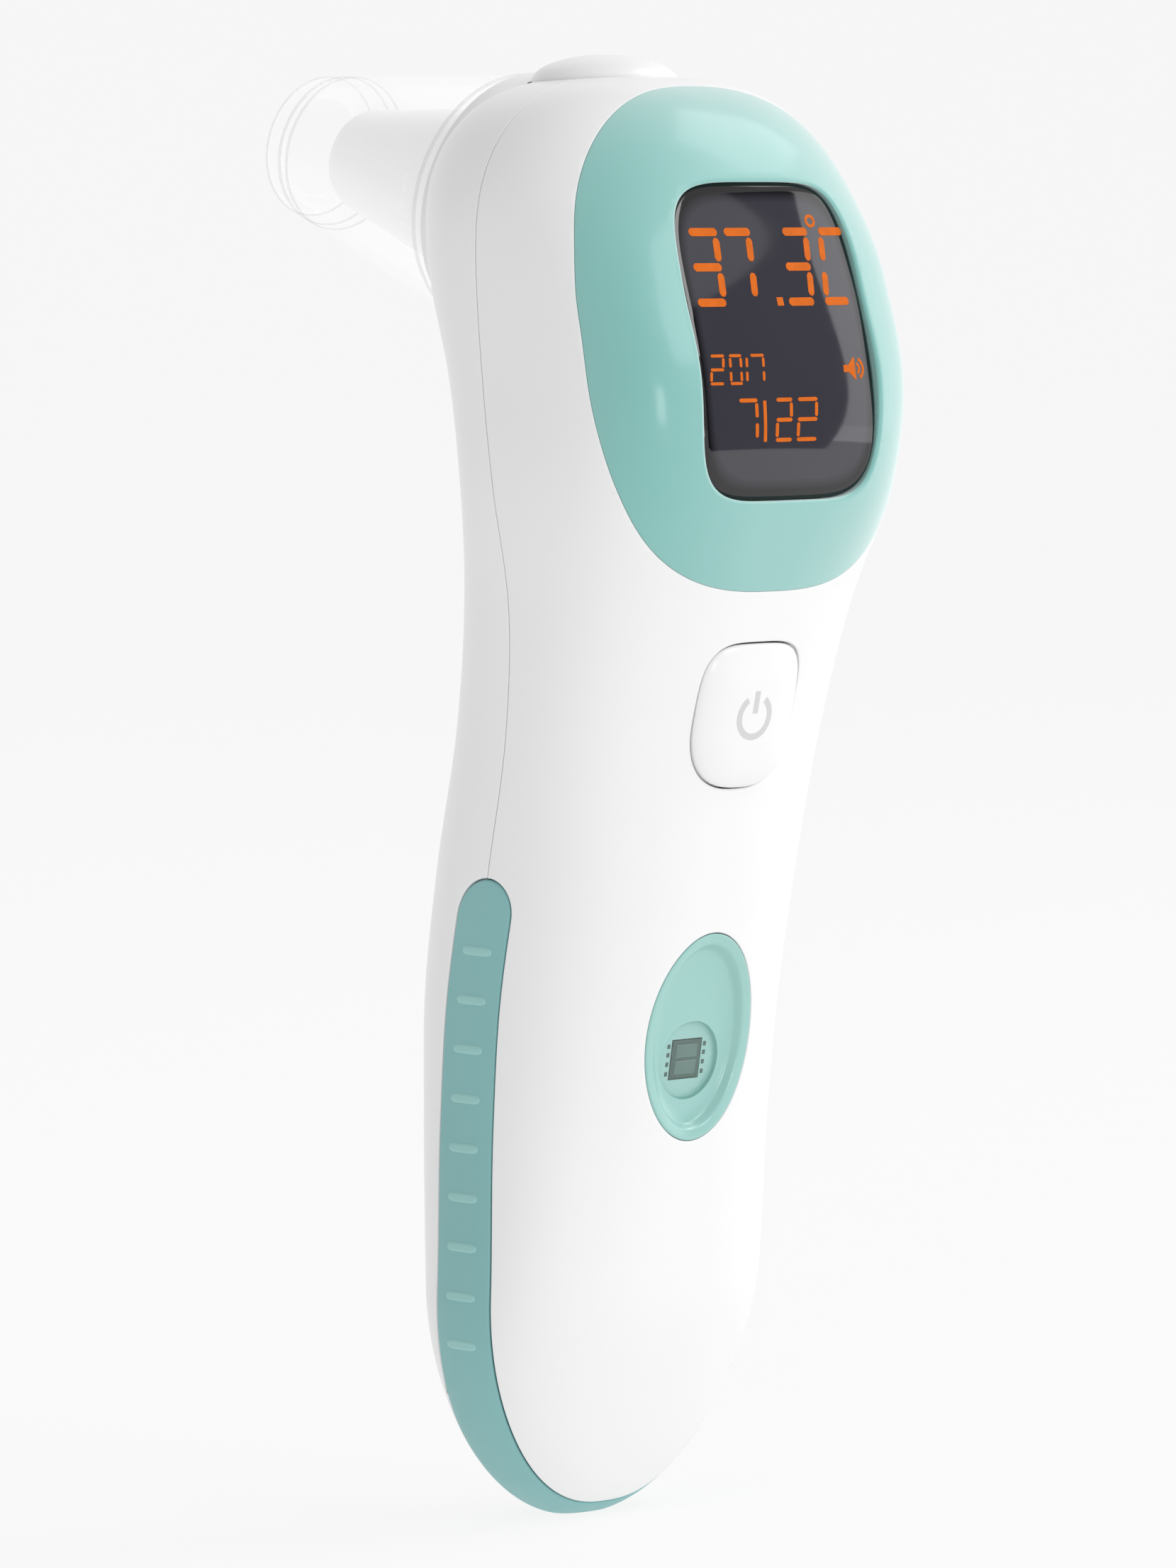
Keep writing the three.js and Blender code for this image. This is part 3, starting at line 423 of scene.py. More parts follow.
def around_angles(quarter_steps):
    """Angles that give even steps round a section of middling squareness."""
    turn = np.linspace(0, np.pi / 2, 2000)
    power = 2 / 3  # 2 over the squareness
    x = np.cos(turn) ** power
    y = np.sin(turn) ** power
    run = np.concatenate([[0], np.cumsum(np.hypot(np.diff(x), np.diff(y)))])
    quarter = np.interp(np.linspace(0, run[-1], quarter_steps + 1), run, turn)
    falling = quarter[::-1][:-1]
    rising = quarter[:-1]
    return np.concatenate([rising, np.pi - falling, np.pi + rising, 2 * np.pi - falling])


def body_rings(inset, spacing, quarter_steps):
    z = level_heights(inset, spacing)[:, None]
    angle = around_angles(quarter_steps)[None, :]
    half, middle, to_front, to_back = section(z, inset)
    across = np.cos(angle)
    deep = np.sin(angle)
    squareness = np.where(deep < 0, front_square(z), back_square(z))
    reach = np.where(deep < 0, to_front, to_back)
    x = half * signed_power(across, 2 / squareness)
    y = middle + reach * signed_power(deep, 2 / squareness)
    return np.stack([x, y, np.broadcast_to(z, x.shape)], axis=-1)


# ---------------------------------------------------------------- meshes and booleans

def loft(rings, looped=False, fans=True):
    """Skins rings of equal point counts. Open stacks are closed by a fan or one flat face."""
    rings = np.asarray(rings, float)
    levels, count = rings.shape[:2]
    points = [tuple(p) for p in rings.reshape(-1, 3)]
    faces = []
    for r in range(levels if looped else levels - 1):
        here = r * count
        there = ((r + 1) % levels) * count
        for i in range(count):
            j = (i + 1) % count
            faces.append((here + i, here + j, there + j, there + i))
    if looped:
        return points, faces
    for r in (0, levels - 1):
        start = r * count
        if fans:
            points.append(tuple(rings[r].mean(axis=0)))
            hub = len(points) - 1
            ring_faces = [(hub, start + i, start + (i + 1) % count) for i in range(count)]
        else:
            ring_faces = [tuple(range(start, start + count))]
        faces += [face[::-1] for face in ring_faces] if r == 0 else ring_faces
    return points, faces


def merge_meshes(parts):
    points = []
    faces = []
    for part_points, part_faces in parts:
        start = len(points)
        points += part_points
        faces += [tuple(start + i for i in face) for face in part_faces]
    return points, faces


def add_object(name, data):
    thing = bpy.data.objects.new(name, data)
    bpy.context.scene.collection.objects.link(thing)
    return thing


def make_piece(name, mesh_data):
    """A new object from points in millimetres, facing outwards."""
    points, faces = mesh_data
    mesh = bpy.data.meshes.new(name)
    mesh.from_pydata((np.asarray(points, float) * MM).tolist(), [], faces)
    edit = bmesh.new()
    edit.from_mesh(mesh)
    if edit.calc_volume(signed=True) < 0:
        bmesh.ops.reverse_faces(edit, faces=edit.faces)
    edit.to_mesh(mesh)
    edit.free()
    return add_object(name, mesh)


def drop(piece):
    mesh = piece.data
    bpy.data.objects.remove(piece)
    bpy.data.meshes.remove(mesh)


def copy_piece(piece, name):
    twin = add_object(name, piece.data.copy())
    twin.data.name = name
    return twin


def combine(piece, other, operation, keep=False):
    """Changes piece by a boolean with other: DIFFERENCE, INTERSECT or UNION."""
    modifier = piece.modifiers.new("shape", "BOOLEAN")
    modifier.solver = "MANIFOLD"
    modifier.operation = operation
    modifier.object = other
    bpy.context.view_layer.update()
    shaped = piece.evaluated_get(bpy.context.evaluated_depsgraph_get())
    mesh = bpy.data.meshes.new_from_object(shaped)
    piece.modifiers.clear()
    before = piece.data
    name = before.name
    piece.data = mesh
    bpy.data.meshes.remove(before)
    mesh.name = name
    if not keep:
        drop(other)
    return piece


def cut(piece, *others, keep=False):
    for other in others:
        combine(piece, other, "DIFFERENCE", keep)
    return piece


def smooth(piece, angle):
    """Smooth shading with sharp edges kept, and normals led by the larger faces."""
    piece.data.shade_smooth()
    piece.data.set_sharp_from_angle(angle=math.radians(angle))
    weighted = piece.modifiers.new("normals", "WEIGHTED_NORMAL")
    weighted.keep_sharp = True


def prism(outline, axis, start, end):
    """A straight block between two planes, from an outline in the other two axes."""
    rings = []
    for place in (start, end):
        ring = np.insert(np.asarray(outline, float), axis, place, axis=1)
        rings.append(ring)
    return make_piece("prism", loft(rings, fans=False))


def block(low, high):
    x0, y0, z0 = low
    x1, y1, z1 = high
    return prism([(x0, y0), (x1, y0), (x1, y1), (x0, y1)], 2, z0, z1)


def rounded_profile(points, radius, steps=5):
    """A closed profile with each corner turned into a small curve."""
    points = np.asarray(points, float)
    count = len(points)
    result = []
    for i in range(count):
        corner = points[i]
        before = points[i - 1] - corner
        after = points[(i + 1) % count] - corner
        reach = min(radius, 0.45 * np.linalg.norm(before), 0.45 * np.linalg.norm(after))
        start = corner + unit(before) * reach
        end = corner + unit(after) * reach
        for t in np.linspace(0, 1, steps):
            result.append((1 - t) ** 2 * start + 2 * t * (1 - t) * corner + t * t * end)
    return np.array(result)


def lathe(profile, sides=ROUND, on_axis=False):
    """Turns (radius, along) pairs about the Y axis. A profile off the axis closes on itself."""
    angle = np.linspace(0, 2 * np.pi, sides, endpoint=False)
    rings = [np.column_stack([r * np.cos(angle), np.full(sides, along), r * np.sin(angle)])
             for r, along in profile]
    return loft(rings, looped=not on_axis)


PROBE_FRAME = np.array(
    Matrix.Translation((0, PROBE_Y, PROBE_Z)) @ Matrix.Rotation(PROBE_TILT, 4, "X"))


def probe_point(points):
    """From the probe's own axes to the object's."""
    return np.asarray(points, float) @ PROBE_FRAME[:3, :3].T + PROBE_FRAME[:3, 3]


def to_probe(mesh_data):
    """Moves a shape turned about Y onto the probe's axis."""
    points, faces = mesh_data
    return [tuple(p) for p in probe_point(points)], faces


def placed(mesh_data, offset, tilt=0.0):
    """Moves a shape, after a turn about the X axis."""
    points, faces = mesh_data
    turn = np.array(Matrix.Rotation(tilt, 3, "X"))
    moved = np.asarray(points, float) @ turn.T + np.asarray(offset, float)
    return [tuple(p) for p in moved], faces


def groove(path, normals, seam, closed=True, lift=0.4):
    """A cutter along a path on the skin: a narrow gap whose two upper edges roll over."""
    half_gap, roll, depth = seam
    if closed:
        along = np.roll(path, -1, axis=0) - np.roll(path, 1, axis=0)
    else:
        along = np.gradient(path, axis=0)
    across = unit(np.cross(along, normals))
    turn = np.linspace(0, np.pi / 2, 6)
    side = [(half_gap + roll, lift)]
    side += [(half_gap + roll * (1 - math.sin(a)), -roll * (1 - math.cos(a))) for a in turn]
    side += [(half_gap, -depth)]
    profile = side + [(-b, h) for b, h in reversed(side)]
    rings = [[p + b * c + h * n for b, h in profile] for p, c, n in zip(path, across, normals)]
    return make_piece("groove", loft(rings, looped=closed, fans=False))


# ---------------------------------------------------------------- materials

def add_node(tree, kind, inputs=None, **settings):
    node = tree.nodes.new(kind)
    for name, value in settings.items():
        setattr(node, name, value)
    for name, value in (inputs or {}).items():
        node.inputs[name].default_value = value
    return node


def own_place(tree):
    """The object's own coordinates, in metres."""
    return add_node(tree, "ShaderNodeTexCoord").outputs["Object"]


def own_axes(tree):
    axes = add_node(tree, "ShaderNodeSeparateXYZ")
    tree.links.new(own_place(tree), axes.inputs["Vector"])
    return axes.outputs


def noise(tree, scale, detail=2.0):
    """Noise in the object's own coordinates. The scale is per metre."""
    texture = add_node(tree, "ShaderNodeTexNoise", {"Scale": scale, "Detail": detail, "Roughness": 0.5})
    tree.links.new(own_place(tree), texture.inputs["Vector"])
    return texture.outputs["Fac"]


def worked(tree, operation, value, number=0.0):
    """One step of arithmetic on a socket, with a fixed second number."""
    node = add_node(tree, "ShaderNodeMath", {1: number}, operation=operation)
    tree.links.new(value, node.inputs[0])
    return node.outputs[0]


def mapped(tree, value, low, high, source_low=0.3, source_high=0.7):
    node = add_node(tree, "ShaderNodeMapRange", {
        "From Min": source_low, "From Max": source_high, "To Min": low, "To Max": high})
    tree.links.new(value, node.inputs["Value"])
    return node.outputs["Result"]


def mixed(tree, factor, first, second):
    node = add_node(tree, "ShaderNodeMix", data_type="RGBA")
    for socket, colour in ((node.inputs[6], first), (node.inputs[7], second)):
        if isinstance(colour, bpy.types.NodeSocket):
            tree.links.new(colour, socket)
        else:
            socket.default_value = (*colour, 1)
    tree.links.new(factor, node.inputs[0])
    return node.outputs[2]


def paint_over(material, factor, colour):
    """Lays a second colour over the first where the factor is 1."""
    tree = material.node_tree
    base = tree.nodes["Principled BSDF"].inputs["Base Color"]
    tree.links.new(mixed(tree, factor, base.links[0].from_socket, colour), base)


def surface_look(name, colour, roughness, grain=5000, height=0.0000015, mottle=0.03, spread=0.05,
                 **sockets):
    """A moulded or turned surface: a little colour drift, uneven gloss and a fine grain."""
    material = bpy.data.materials.new(name)
    material.use_nodes = True
    tree = material.node_tree
    shader = tree.nodes["Principled BSDF"]
    for socket, value in sockets.items():
        shader.inputs[socket.replace("_", " ")].default_value = value
    drift = noise(tree, 70, detail=3)
    lighter = tuple(min(1.0, c * (1 + mottle)) for c in colour)
    darker = tuple(c * (1 - mottle) for c in colour)
    tint = mixed(tree, mapped(tree, drift, 0, 1), darker, lighter)
    tree.links.new(tint, shader.inputs["Base Color"])
    uneven = mapped(tree, noise(tree, 420, detail=4), roughness - spread, roughness + spread)
    tree.links.new(uneven, shader.inputs["Roughness"])
    bump = add_node(tree, "ShaderNodeBump", {"Strength": 0.6, "Distance": height})
    tree.links.new(noise(tree, grain, detail=2), bump.inputs["Height"])
    tree.links.new(bump.outputs["Normal"], shader.inputs["Normal"])
    return material


def lens_look():
    """Smoked plastic that turns to a black border near the edge of the window."""
    material = surface_look("smoked_plastic", (0.038, 0.037, 0.048), 0.05, mottle=0.05, spread=0.01,
                            height=0.0000005, Specular_IOR_Level=0.65)
    tree = material.node_tree
    z, half, up, _, squareness, _ = WINDOW
    axes = own_axes(tree)
    terms = []
    for axis, middle, reach in (("X", 0.0, half), ("Z", z, up)):
        from_middle = worked(tree, "SUBTRACT", axes[axis], middle * MM)
        share = worked(tree, "ABSOLUTE", worked(tree, "DIVIDE", from_middle, reach * MM))
        terms.append(worked(tree, "POWER", share, squareness))
    total = add_node(tree, "ShaderNodeMath", operation="ADD")
    for term, socket in zip(terms, total.inputs):
        tree.links.new(term, socket)
    paint_over(material, mapped(tree, total.outputs[0], 0, 1, 0.5, 0.75), (0.004, 0.004, 0.005))
    return material


def glow_look(name, colour, strength):
    """Lit display segments with a slightly uneven brightness."""
    base = tuple(c * 0.1 for c in colour)
    material = surface_look(name, base, 0.6, Emission_Strength=strength, Specular_IOR_Level=0.1)
    tree = material.node_tree
    shader = tree.nodes["Principled BSDF"]
    dim = tuple(c * 0.85 for c in colour)
    lit = mixed(tree, mapped(tree, noise(tree, 900), 0, 1), dim, colour)
    tree.links.new(lit, shader.inputs["Emission Color"])
    return material


def wrap_look():
    """The printed sleeve of a battery: a blue field with a pale band near one end."""
    material = surface_look("cell_wrap", (0.05, 0.11, 0.23), 0.32, Metallic=0.25)
    tree = material.node_tree
    wave = worked(tree, "PINGPONG", own_axes(tree)["Z"], 0.024)
    paint_over(material, mapped(tree, wave, 0, 1, 0.0195, 0.0197), (0.62, 0.64, 0.66))
    return material


def board_look():
    """Green solder mask over faint copper tracks."""
    material = surface_look("circuit_board", (0.012, 0.14, 0.06), 0.35, Specular_IOR_Level=0.5)
    tree = material.node_tree
    tracks = add_node(tree, "ShaderNodeTexBrick", {
        "Scale": 260.0, "Mortar Size": 0.012, "Mortar Smooth": 0.3, "Brick Width": 0.9, "Row Height": 0.3})
    tree.links.new(own_place(tree), tracks.inputs["Vector"])
    paint_over(material, tracks.outputs["Fac"], (0.03, 0.27, 0.12))
    return material


def clear_look(name, colour, alpha, coat=1.0, **more):
    """Clear moulded plastic with a polished face."""
    return surface_look(name, colour, Alpha=alpha, Coat_Weight=coat, Coat_Roughness=0.04,
                        spread=0.02, **more)


POLISHED = {"mottle": 0.005, "height": 0.0000005, "roughness": 0.08}
LOOKS = {
    "white_shell": surface_look("white_plastic", (0.84, 0.84, 0.845), 0.32, mottle=0.004, spread=0.02,
                                Coat_Weight=0.15, Coat_Roughness=0.2),
    "teal_bezel": surface_look("teal_plastic", (0.12, 0.43, 0.39), 0.45, mottle=0.01, spread=0.02,
                               Specular_IOR_Level=0.3, Coat_Weight=0.35, Coat_Roughness=0.15,
                               Sheen_Weight=0.8, Sheen_Roughness=0.75),
    "teal_band": surface_look("teal_rubber", (0.225, 0.47, 0.465), 0.5, height=0.000008, mottle=0.015),
    # The grey of the cap's ridges is painted shade: it stands in for how thick clear plastic looks darker
    # at its edges.
    "clear_edge_painted_shade": clear_look("clear_edge_painted_shade", (0.6, 0.61, 0.62), 0.16, mottle=0.02, roughness=0.1),
    # The probe's white is a lighter copy of the shell's white plastic, painted light that offsets the shade
    # of the cap over it.
    "probe": surface_look("probe_plastic_painted_light", (0.95, 0.95, 0.95), 0.3, mottle=0.004, spread=0.02),
    "rib": surface_look("pale_teal_rubber", (0.30, 0.56, 0.54), 0.45, height=0.000008, mottle=0.015),
    "dish": surface_look("teal_dish_plastic", (0.30, 0.56, 0.52), 0.3, mottle=0.01, spread=0.02,
                         Specular_IOR_Level=0.7, Coat_Weight=0.5, Coat_Roughness=0.25),
    "smoked_lens": lens_look(),
    # The clear plastic's faint white emission is painted light: a glow that makes the cap look brighter,
    # though it is no lamp.
    "clear_plastic": clear_look("clear_plastic", (0.95, 0.955, 0.955), 0.11, **POLISHED,
                                Emission_Color=(1, 1, 1, 1), Emission_Strength=0.22),
    "digits": glow_look("amber_segments", (0.82, 0.17, 0.012), 0.85),
    "symbol": surface_look("grey_print", (0.6, 0.6, 0.6), 0.45),
    "lcd_glass": surface_look("lcd_glass", (0.02, 0.022, 0.028), 0.12),
    "light_guide": surface_look("light_guide", (0.9, 0.86, 0.74), 0.4),
    "rubber_strip": surface_look("contact_rubber", (0.09, 0.1, 0.11), 0.8),
    "black_plastic": surface_look("black_plastic", (0.012, 0.012, 0.014), 0.5, mottle=0.2),
    "chip": surface_look("sensor_chip", (0.035, 0.075, 0.06), 0.3, mottle=0.3),
    "clear_window": clear_look("clear_window", (0.7, 0.85, 0.82), 0.05, coat=0.6, **POLISHED),
    "chip_glass": surface_look("sensor_glass", (0.08, 0.145, 0.125), 0.12, mottle=0.3),
    "circuit_board": board_look(),
    "flex_film": surface_look("flex_film", (0.58, 0.25, 0.04), 0.4, mottle=0.1),
    "red_wire": surface_look("red_wire", (0.45, 0.02, 0.012), 0.45),
    "black_wire": surface_look("black_wire", (0.012, 0.012, 0.014), 0.45),
    "steel": surface_look("steel", (0.56, 0.57, 0.58), 0.28, mottle=0.06, Metallic=1.0),
    "brass_tube": surface_look("brass", (0.62, 0.43, 0.14), 0.25, mottle=0.08, Metallic=1.0),
    "aluminium_block": surface_look("aluminium", (0.62, 0.64, 0.66), 0.35, mottle=0.06, Metallic=1.0),
    "cell_wrap": wrap_look(),
}


def finish_piece(piece, look, body, slot, *nodes, angle=34):
    """Gives a piece its shading, material and body, and hides the CAD nodes that it stands for. The slot is
    not used.
    """
    smooth(piece, angle)
    piece.data.materials.clear()
    piece.data.materials.append(LOOKS[look])
    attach(piece, body)
    if nodes:
        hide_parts(*nodes)
    return piece


def build_piece(name, mesh_data, look, body, slot, *nodes, angle=34):
    return finish_piece(make_piece(name, mesh_data), look, body, slot, *nodes, angle=angle)


# ---------------------------------------------------------------- housing

def parting_half(side):
    """Everything in front of or behind the parting line, short of it by a hair."""
    hair = 0.01
    z = np.linspace(-10, BODY_TOP + 10, 260)
    edge = np.column_stack([parting_at(z) + side * hair, z])
    outline = np.vstack([edge, [[side * FAR, BODY_TOP + 10], [side * FAR, -10]]])
    return prism(outline, 0, -FAR, FAR)


def parting_groove():
    """The seam between the shells: up one side from the band, over the top and down."""
    z = level_heights(0.0, 0.3)
    z = z[z > BAND_TOP - 3]
    right = np.column_stack([section(z)[0], parting_at(z), z])
    left = right[::-1] * np.array([-1, 1, 1])
    path = resample(np.vstack([right, left]), PATH_STEP)
    along = np.gradient(path, axis=0)
    normals = unit(np.column_stack([along[:, 2], np.zeros(len(path)), -along[:, 0]]))
    return groove(path, normals, SEAM, closed=False)


def skin_groove(outline, side, seam, closed=True):
    """A seam along an (x, z) outline in the front or back skin."""
    path = on_skin(outline, side)
    return groove(path, skin_normals(path), seam, closed)


def panel_groove(panel, side, seam, grow=0.0):
    return skin_groove(panel_outline(panel, grow), side, seam)


def band_groove():
    path = band_path()
    return groove(path, skin_normals(path), BAND_SEAM)


def scan_hole():
    room, low, high = SCAN_HOLE
    return prism(ellipse(SCAN_HALF_X + room, SCAN_HALF_Y + room, SCAN_Y), 2, low, high)


def scan_groove():
    x, y = ellipse(SCAN_HALF_X + SCAN_GAP[0], SCAN_HALF_Y + SCAN_GAP[0], SCAN_Y).T
    path = np.column_stack([x, y, top_z(x, y)])
    return groove(path, np.tile([0.0, 0.0, 1.0], (len(path), 1)), SCAN_GAP)


def nose_solid():
    """The round nose that the probe comes out of, with a fillet where it meets the body."""
    up = np.array([-NOSE_TAPER, 1.0]) / math.hypot(NOSE_TAPER, 1)
    right = np.array([up[1], -up[0]])
    turn = np.linspace(0, np.pi, 400)[:, None]
    along = np.linspace(-1, -16, 300)
    side = np.column_stack([NOSE_MOUTH - along * NOSE_TAPER, along])
    top = np.array([[NOSE_MOUTH - 1.5 * NOSE_TAPER, 1.5]])
    deep = np.array([[12.4, -13.0]])
    columns = []
    for angle in np.linspace(0, 2 * np.pi, 256, endpoint=False):
        out = np.array([math.cos(angle), math.sin(angle)])

        def world(line):
            """Points from (radius, along) pairs at this angle round the probe."""
            radius = line[:, 0]
            return probe_point(np.column_stack([radius * out[0], line[:, 1], radius * out[1]]))

        def entry(line):
            """The first point of a line that is inside the body, or its last point."""
            points = world(line)
            inside = (skin_level(points) < 1) & (points[:, 2] < BODY_TOP)
            return line[int(np.argmax(inside))] if inside.any() else line[-1]

        corner = entry(side)
        reach = min(NOSE_FILLET, 0.8 * -corner[1])
        touch = entry(corner + reach * (np.cos(turn) * up + np.sin(turn) * right))
        start = corner + up * reach
        t = np.linspace(0, 1, 14)[:, None]
        fillet = (1 - t) ** 2 * start + 2 * t * (1 - t) * corner + t * t * touch
        sink = touch + unit(touch - corner) * 0.5 + np.array([0, -0.25])
        upper = top + (start - top) * np.linspace(0, 1, 8)[:, None]
        columns.append(world(np.vstack([upper[:-1], fillet, [sink], deep])))
    return make_piece("nose", loft(np.stack(columns, axis=1)))


def beyond_mouth():
    """What lies past the mouth of the nose, with the rounding of its outer edge."""
    roll = NOSE_ROLL
    turn = np.linspace(0, np.pi / 2, 6)
    arc = [(NOSE_MOUTH - roll + roll * math.sin(a), -roll + roll * math.cos(a)) for a in turn]
    profile = [(0.01, 0.0), *arc, (NOSE_MOUTH + 0.5, -roll), (NOSE_MOUTH + 0.5, 20.0), (0.01, 20.0)]
    return make_piece("beyond", to_probe(lathe(profile, 192, on_axis=True)))


def bar_along_y(x, z, radius, start, end, sides=SMALL_ROUND):
    angle = np.linspace(0, 2 * np.pi, sides, endpoint=False)
    outline = np.column_stack([x + radius * np.cos(angle), z + radius * np.sin(angle)])
    return prism(outline, 1, start, end)


def screw_places():
    return [(x, screw, back) for _, _, back, screw in LEDGES for x in (-SCREW_X, SCREW_X)]


def grille_places():
    z, ring, _, count = GRILLE
    angles = [2 * math.pi * i / count for i in range(count)]
    return [(0.0, z)] + [(ring * math.cos(a), z + ring * math.sin(a)) for a in angles]


def front_shell(shell, skin):
    piece = copy_piece(shell, "front_shell_body")
    combine(piece, parting_half(FRONT_SIDE), "INTERSECT")
    room, dish_back = DISH_HOLE
    dish = ellipse(DISH_HALF_X + room, DISH_HALF_Z + room, DISH_Z)
    cut(piece,
        prism(band_outline(0), 0, -FAR, FAR),
        prism(panel_outline(BEZEL), 1, -FAR, BEZEL_BACK + 0.3),
        prism(panel_outline(BUTTON, 0.1), 1, -FAR, BUTTON_FLANGE[0]),
        prism(dish, 1, -FAR, dish_back),
        scan_hole(),
        scan_groove(),
        parting_groove(),
        band_groove(),
        panel_groove(BEZEL, FRONT_SIDE, BEZEL_SEAM),
        panel_groove(BUTTON, FRONT_SIDE, BUTTON_SEAM, grow=0.06))
    cut(piece, skin_groove(dish, FRONT_SIDE, DISH_SEAM))
    for x, z, back in screw_places():
        top = back - LEDGE_THICK - 0.3
        post = bar_along_y(x, z, POST_RADIUS, -FAR / 2, top)
        combine(post, skin, "INTERSECT", keep=True)
        cut(post, bar_along_y(x, z, POST_HOLE, top - POST_DEPTH, FAR))
        combine(piece, post, "UNION")
    return finish_piece(piece, "white_shell", "housing", "white_shell", "front_shell")


def rear_shell(skin, lining):
    piece = copy_piece(skin, "rear_shell_body")
    combine(piece, nose_solid(), "UNION")
    cut(piece, beyond_mouth())
    combine(piece, parting_half(BACK_SIDE), "INTERSECT")
    cut(piece, lining, keep=True)
    bore = lathe([(0.01, -18), (PROBE_BORE, -18), (PROBE_BORE, 2), (0.01, 2)], on_axis=True)
    cut(piece,
        block(*UNDER),
        make_piece("bore", to_probe(bore)),
        prism(band_outline(0), 0, -FAR, FAR),
        scan_hole(),
        scan_groove(),
        prism(panel_outline(COVER), 1, COVER_HOLE_FRONT, FAR),
        parting_groove(),
        band_groove(),
        panel_groove(COVER, BACK_SIDE, COVER_SEAM))
    for low, high, back, _ in LEDGES:
        ledge = block((-LEDGE_HALF_WIDTH, back - LEDGE_THICK, low), (LEDGE_HALF_WIDTH, back, high))
        combine(ledge, skin, "INTERSECT", keep=True)
        combine(piece, ledge, "UNION")
    for x, z, _ in screw_places():
        cut(piece, bar_along_y(x, z, LEDGE_HOLE, HOLE_FRONT, FAR))
    radius = GRILLE[2]
    for x, z in grille_places():
        back = float(skin_y(np.array(x), np.array(z), BACK_SIDE))
        flare = [(radius + wider, min(back + out, FAR)) for wider, out in GRILLE_FLARE]
        profile = [(0.01, HOLE_FRONT), (radius, HOLE_FRONT), *flare, (0.01, FAR)]
        cut(piece, make_piece("hole", placed(lathe(profile, 32, on_axis=True), (x, 0, z))))
    return finish_piece(piece, "white_shell", "housing", "white_shell", "rear_shell")


def rib(z, side):
    """One small raised bar on the band, with rounded edges."""
    middle = float(parting_at(z))
    angle = np.linspace(0, 2 * np.pi, 32, endpoint=False)
    rings = []
    for out, shrink in RIB_LEVELS:
        across = signed_power(np.cos(angle), 0.35) * (RIB_LENGTH / 2 - shrink)
        high = signed_power(np.sin(angle), 0.8) * (RIB_HEIGHT / 2 - shrink * 0.9)
        x = skin_x(middle + across, z + high) + out * RIB_PROUD
        rings.append(np.column_stack([side * x, middle + across, z + high]))
    return loft(rings)


def grip_ribs():
    """The moulded bars of both grip bands, a little paler than the rubber round them."""
    bars = [rib(RIB_FIRST + i * RIB_PITCH, side) for i in range(RIB_COUNT) for side in (-1, 1)]
    piece = make_piece("grip_ribs", merge_meshes(bars))
    return finish_piece(piece, "rib", "housing", "teal_band")


def side_band(shell):
    piece = copy_piece(shell, "side_band_body")
    combine(piece, prism(band_outline(0), 0, -FAR, FAR), "INTERSECT")
    cut(piece, band_groove())
    return finish_piece(piece, "teal_band", "housing", "teal_band", "side_band")


def display_bezel(shell):
    piece = copy_piece(shell, "display_bezel_body")
    combine(piece, prism(panel_outline(BEZEL), 1, -FAR, BEZEL_BACK), "INTERSECT")
    cut(piece,
        prism(panel_outline(WINDOW), 1, -FAR, 0),
        panel_groove(BEZEL, FRONT_SIDE, BEZEL_SEAM),
        panel_groove(WINDOW, FRONT_SIDE, WINDOW_LIP))
    return finish_piece(piece, "teal_bezel", "housing", "teal_bezel", "display_bezel")


def lens_surface():
    """A fair low-order surface through the skin over the window: y as a function of x and z."""
    z, half, up, down = WINDOW[:4]
    grid_x, grid_z = np.meshgrid(np.linspace(-half, half, 25), np.linspace(z - down, z + up, 33))
    x, height = grid_x.ravel(), grid_z.ravel()

    def terms(x, height):
        t = (height - z) / up
        u = (x / half) ** 2
        return np.stack([t ** 0, t, t ** 2, t ** 3, u, u * t], axis=-1)

    weights = np.linalg.lstsq(terms(x, height), skin_y(x, height, FRONT_SIDE), rcond=None)[0]
    return lambda x, height: terms(x, height) @ weights


lens_y = lens_surface()


def display_lens():
    """The smoked window: a fair outer face and a turned-over edge."""
    outline = panel_outline(WINDOW, -0.08)
    middle = np.array([0.0, WINDOW[0]])
    back = LENS_INSET + LENS_THICK
    levels = [(reach, LENS_INSET) for reach in np.linspace(0.02, 0.975, 26)]
    levels += [(0.99, LENS_INSET + 0.05), (1.0, LENS_INSET + 0.2), (1.0, back)]
    levels += [(reach, back) for reach in np.linspace(0.96, 0.02, 12)]
    rings = []
    for reach, depth in levels:
        x, z = (middle + (outline - middle) * reach).T
        rings.append(np.column_stack([x, lens_y(x, z) + depth, z]))
    return build_piece("display_lens_body", loft(rings), "smoked_lens", "housing", "smoked_lens",
                       "display_lens", angle=50)


def battery_cover(skin):
    piece = copy_piece(skin, "battery_cover_body")
    cut(piece, make_piece("inner", loft(body_rings(COVER_THICK, LINING_STEP, LINING_QUARTER))))
    combine(piece, prism(panel_outline(COVER), 1, COVER_INNER_LIMIT, FAR), "INTERSECT")
    cut(piece, panel_groove(COVER, BACK_SIDE, COVER_SEAM))
    count, lowest, pitch, half_length, shortening = COVER_GRIP
    for i in range(count):
        reach = half_length - shortening * i
        line = np.column_stack([np.linspace(-reach, reach, 40), np.full(40, lowest + pitch * i)])
        cut(piece, skin_groove(line, BACK_SIDE, COVER_GRIP_SEAM, closed=False))
    return finish_piece(piece, "white_shell", "cover", "white_shell", "battery_cover")


# ---------------------------------------------------------------- buttons

def button_face(x, z):
    """The pillow-shaped face, which leans back a little: y at one place on the button."""
    middle, half, up, down, square_up, square_down = BUTTON
    high = z - middle
    squareness = np.where(high > 0, square_up, square_down)
    reach = np.abs(x / half) ** squareness + np.abs(high / np.where(high > 0, up, down)) ** squareness
    rise = np.sqrt(1 - np.minimum(reach, 1) ** (BUTTON_ROUNDING / squareness))
    height = BUTTON_EDGE + BUTTON_DOME * rise - BUTTON_LEAN * high
    return skin_y(x, z, FRONT_SIDE) - height


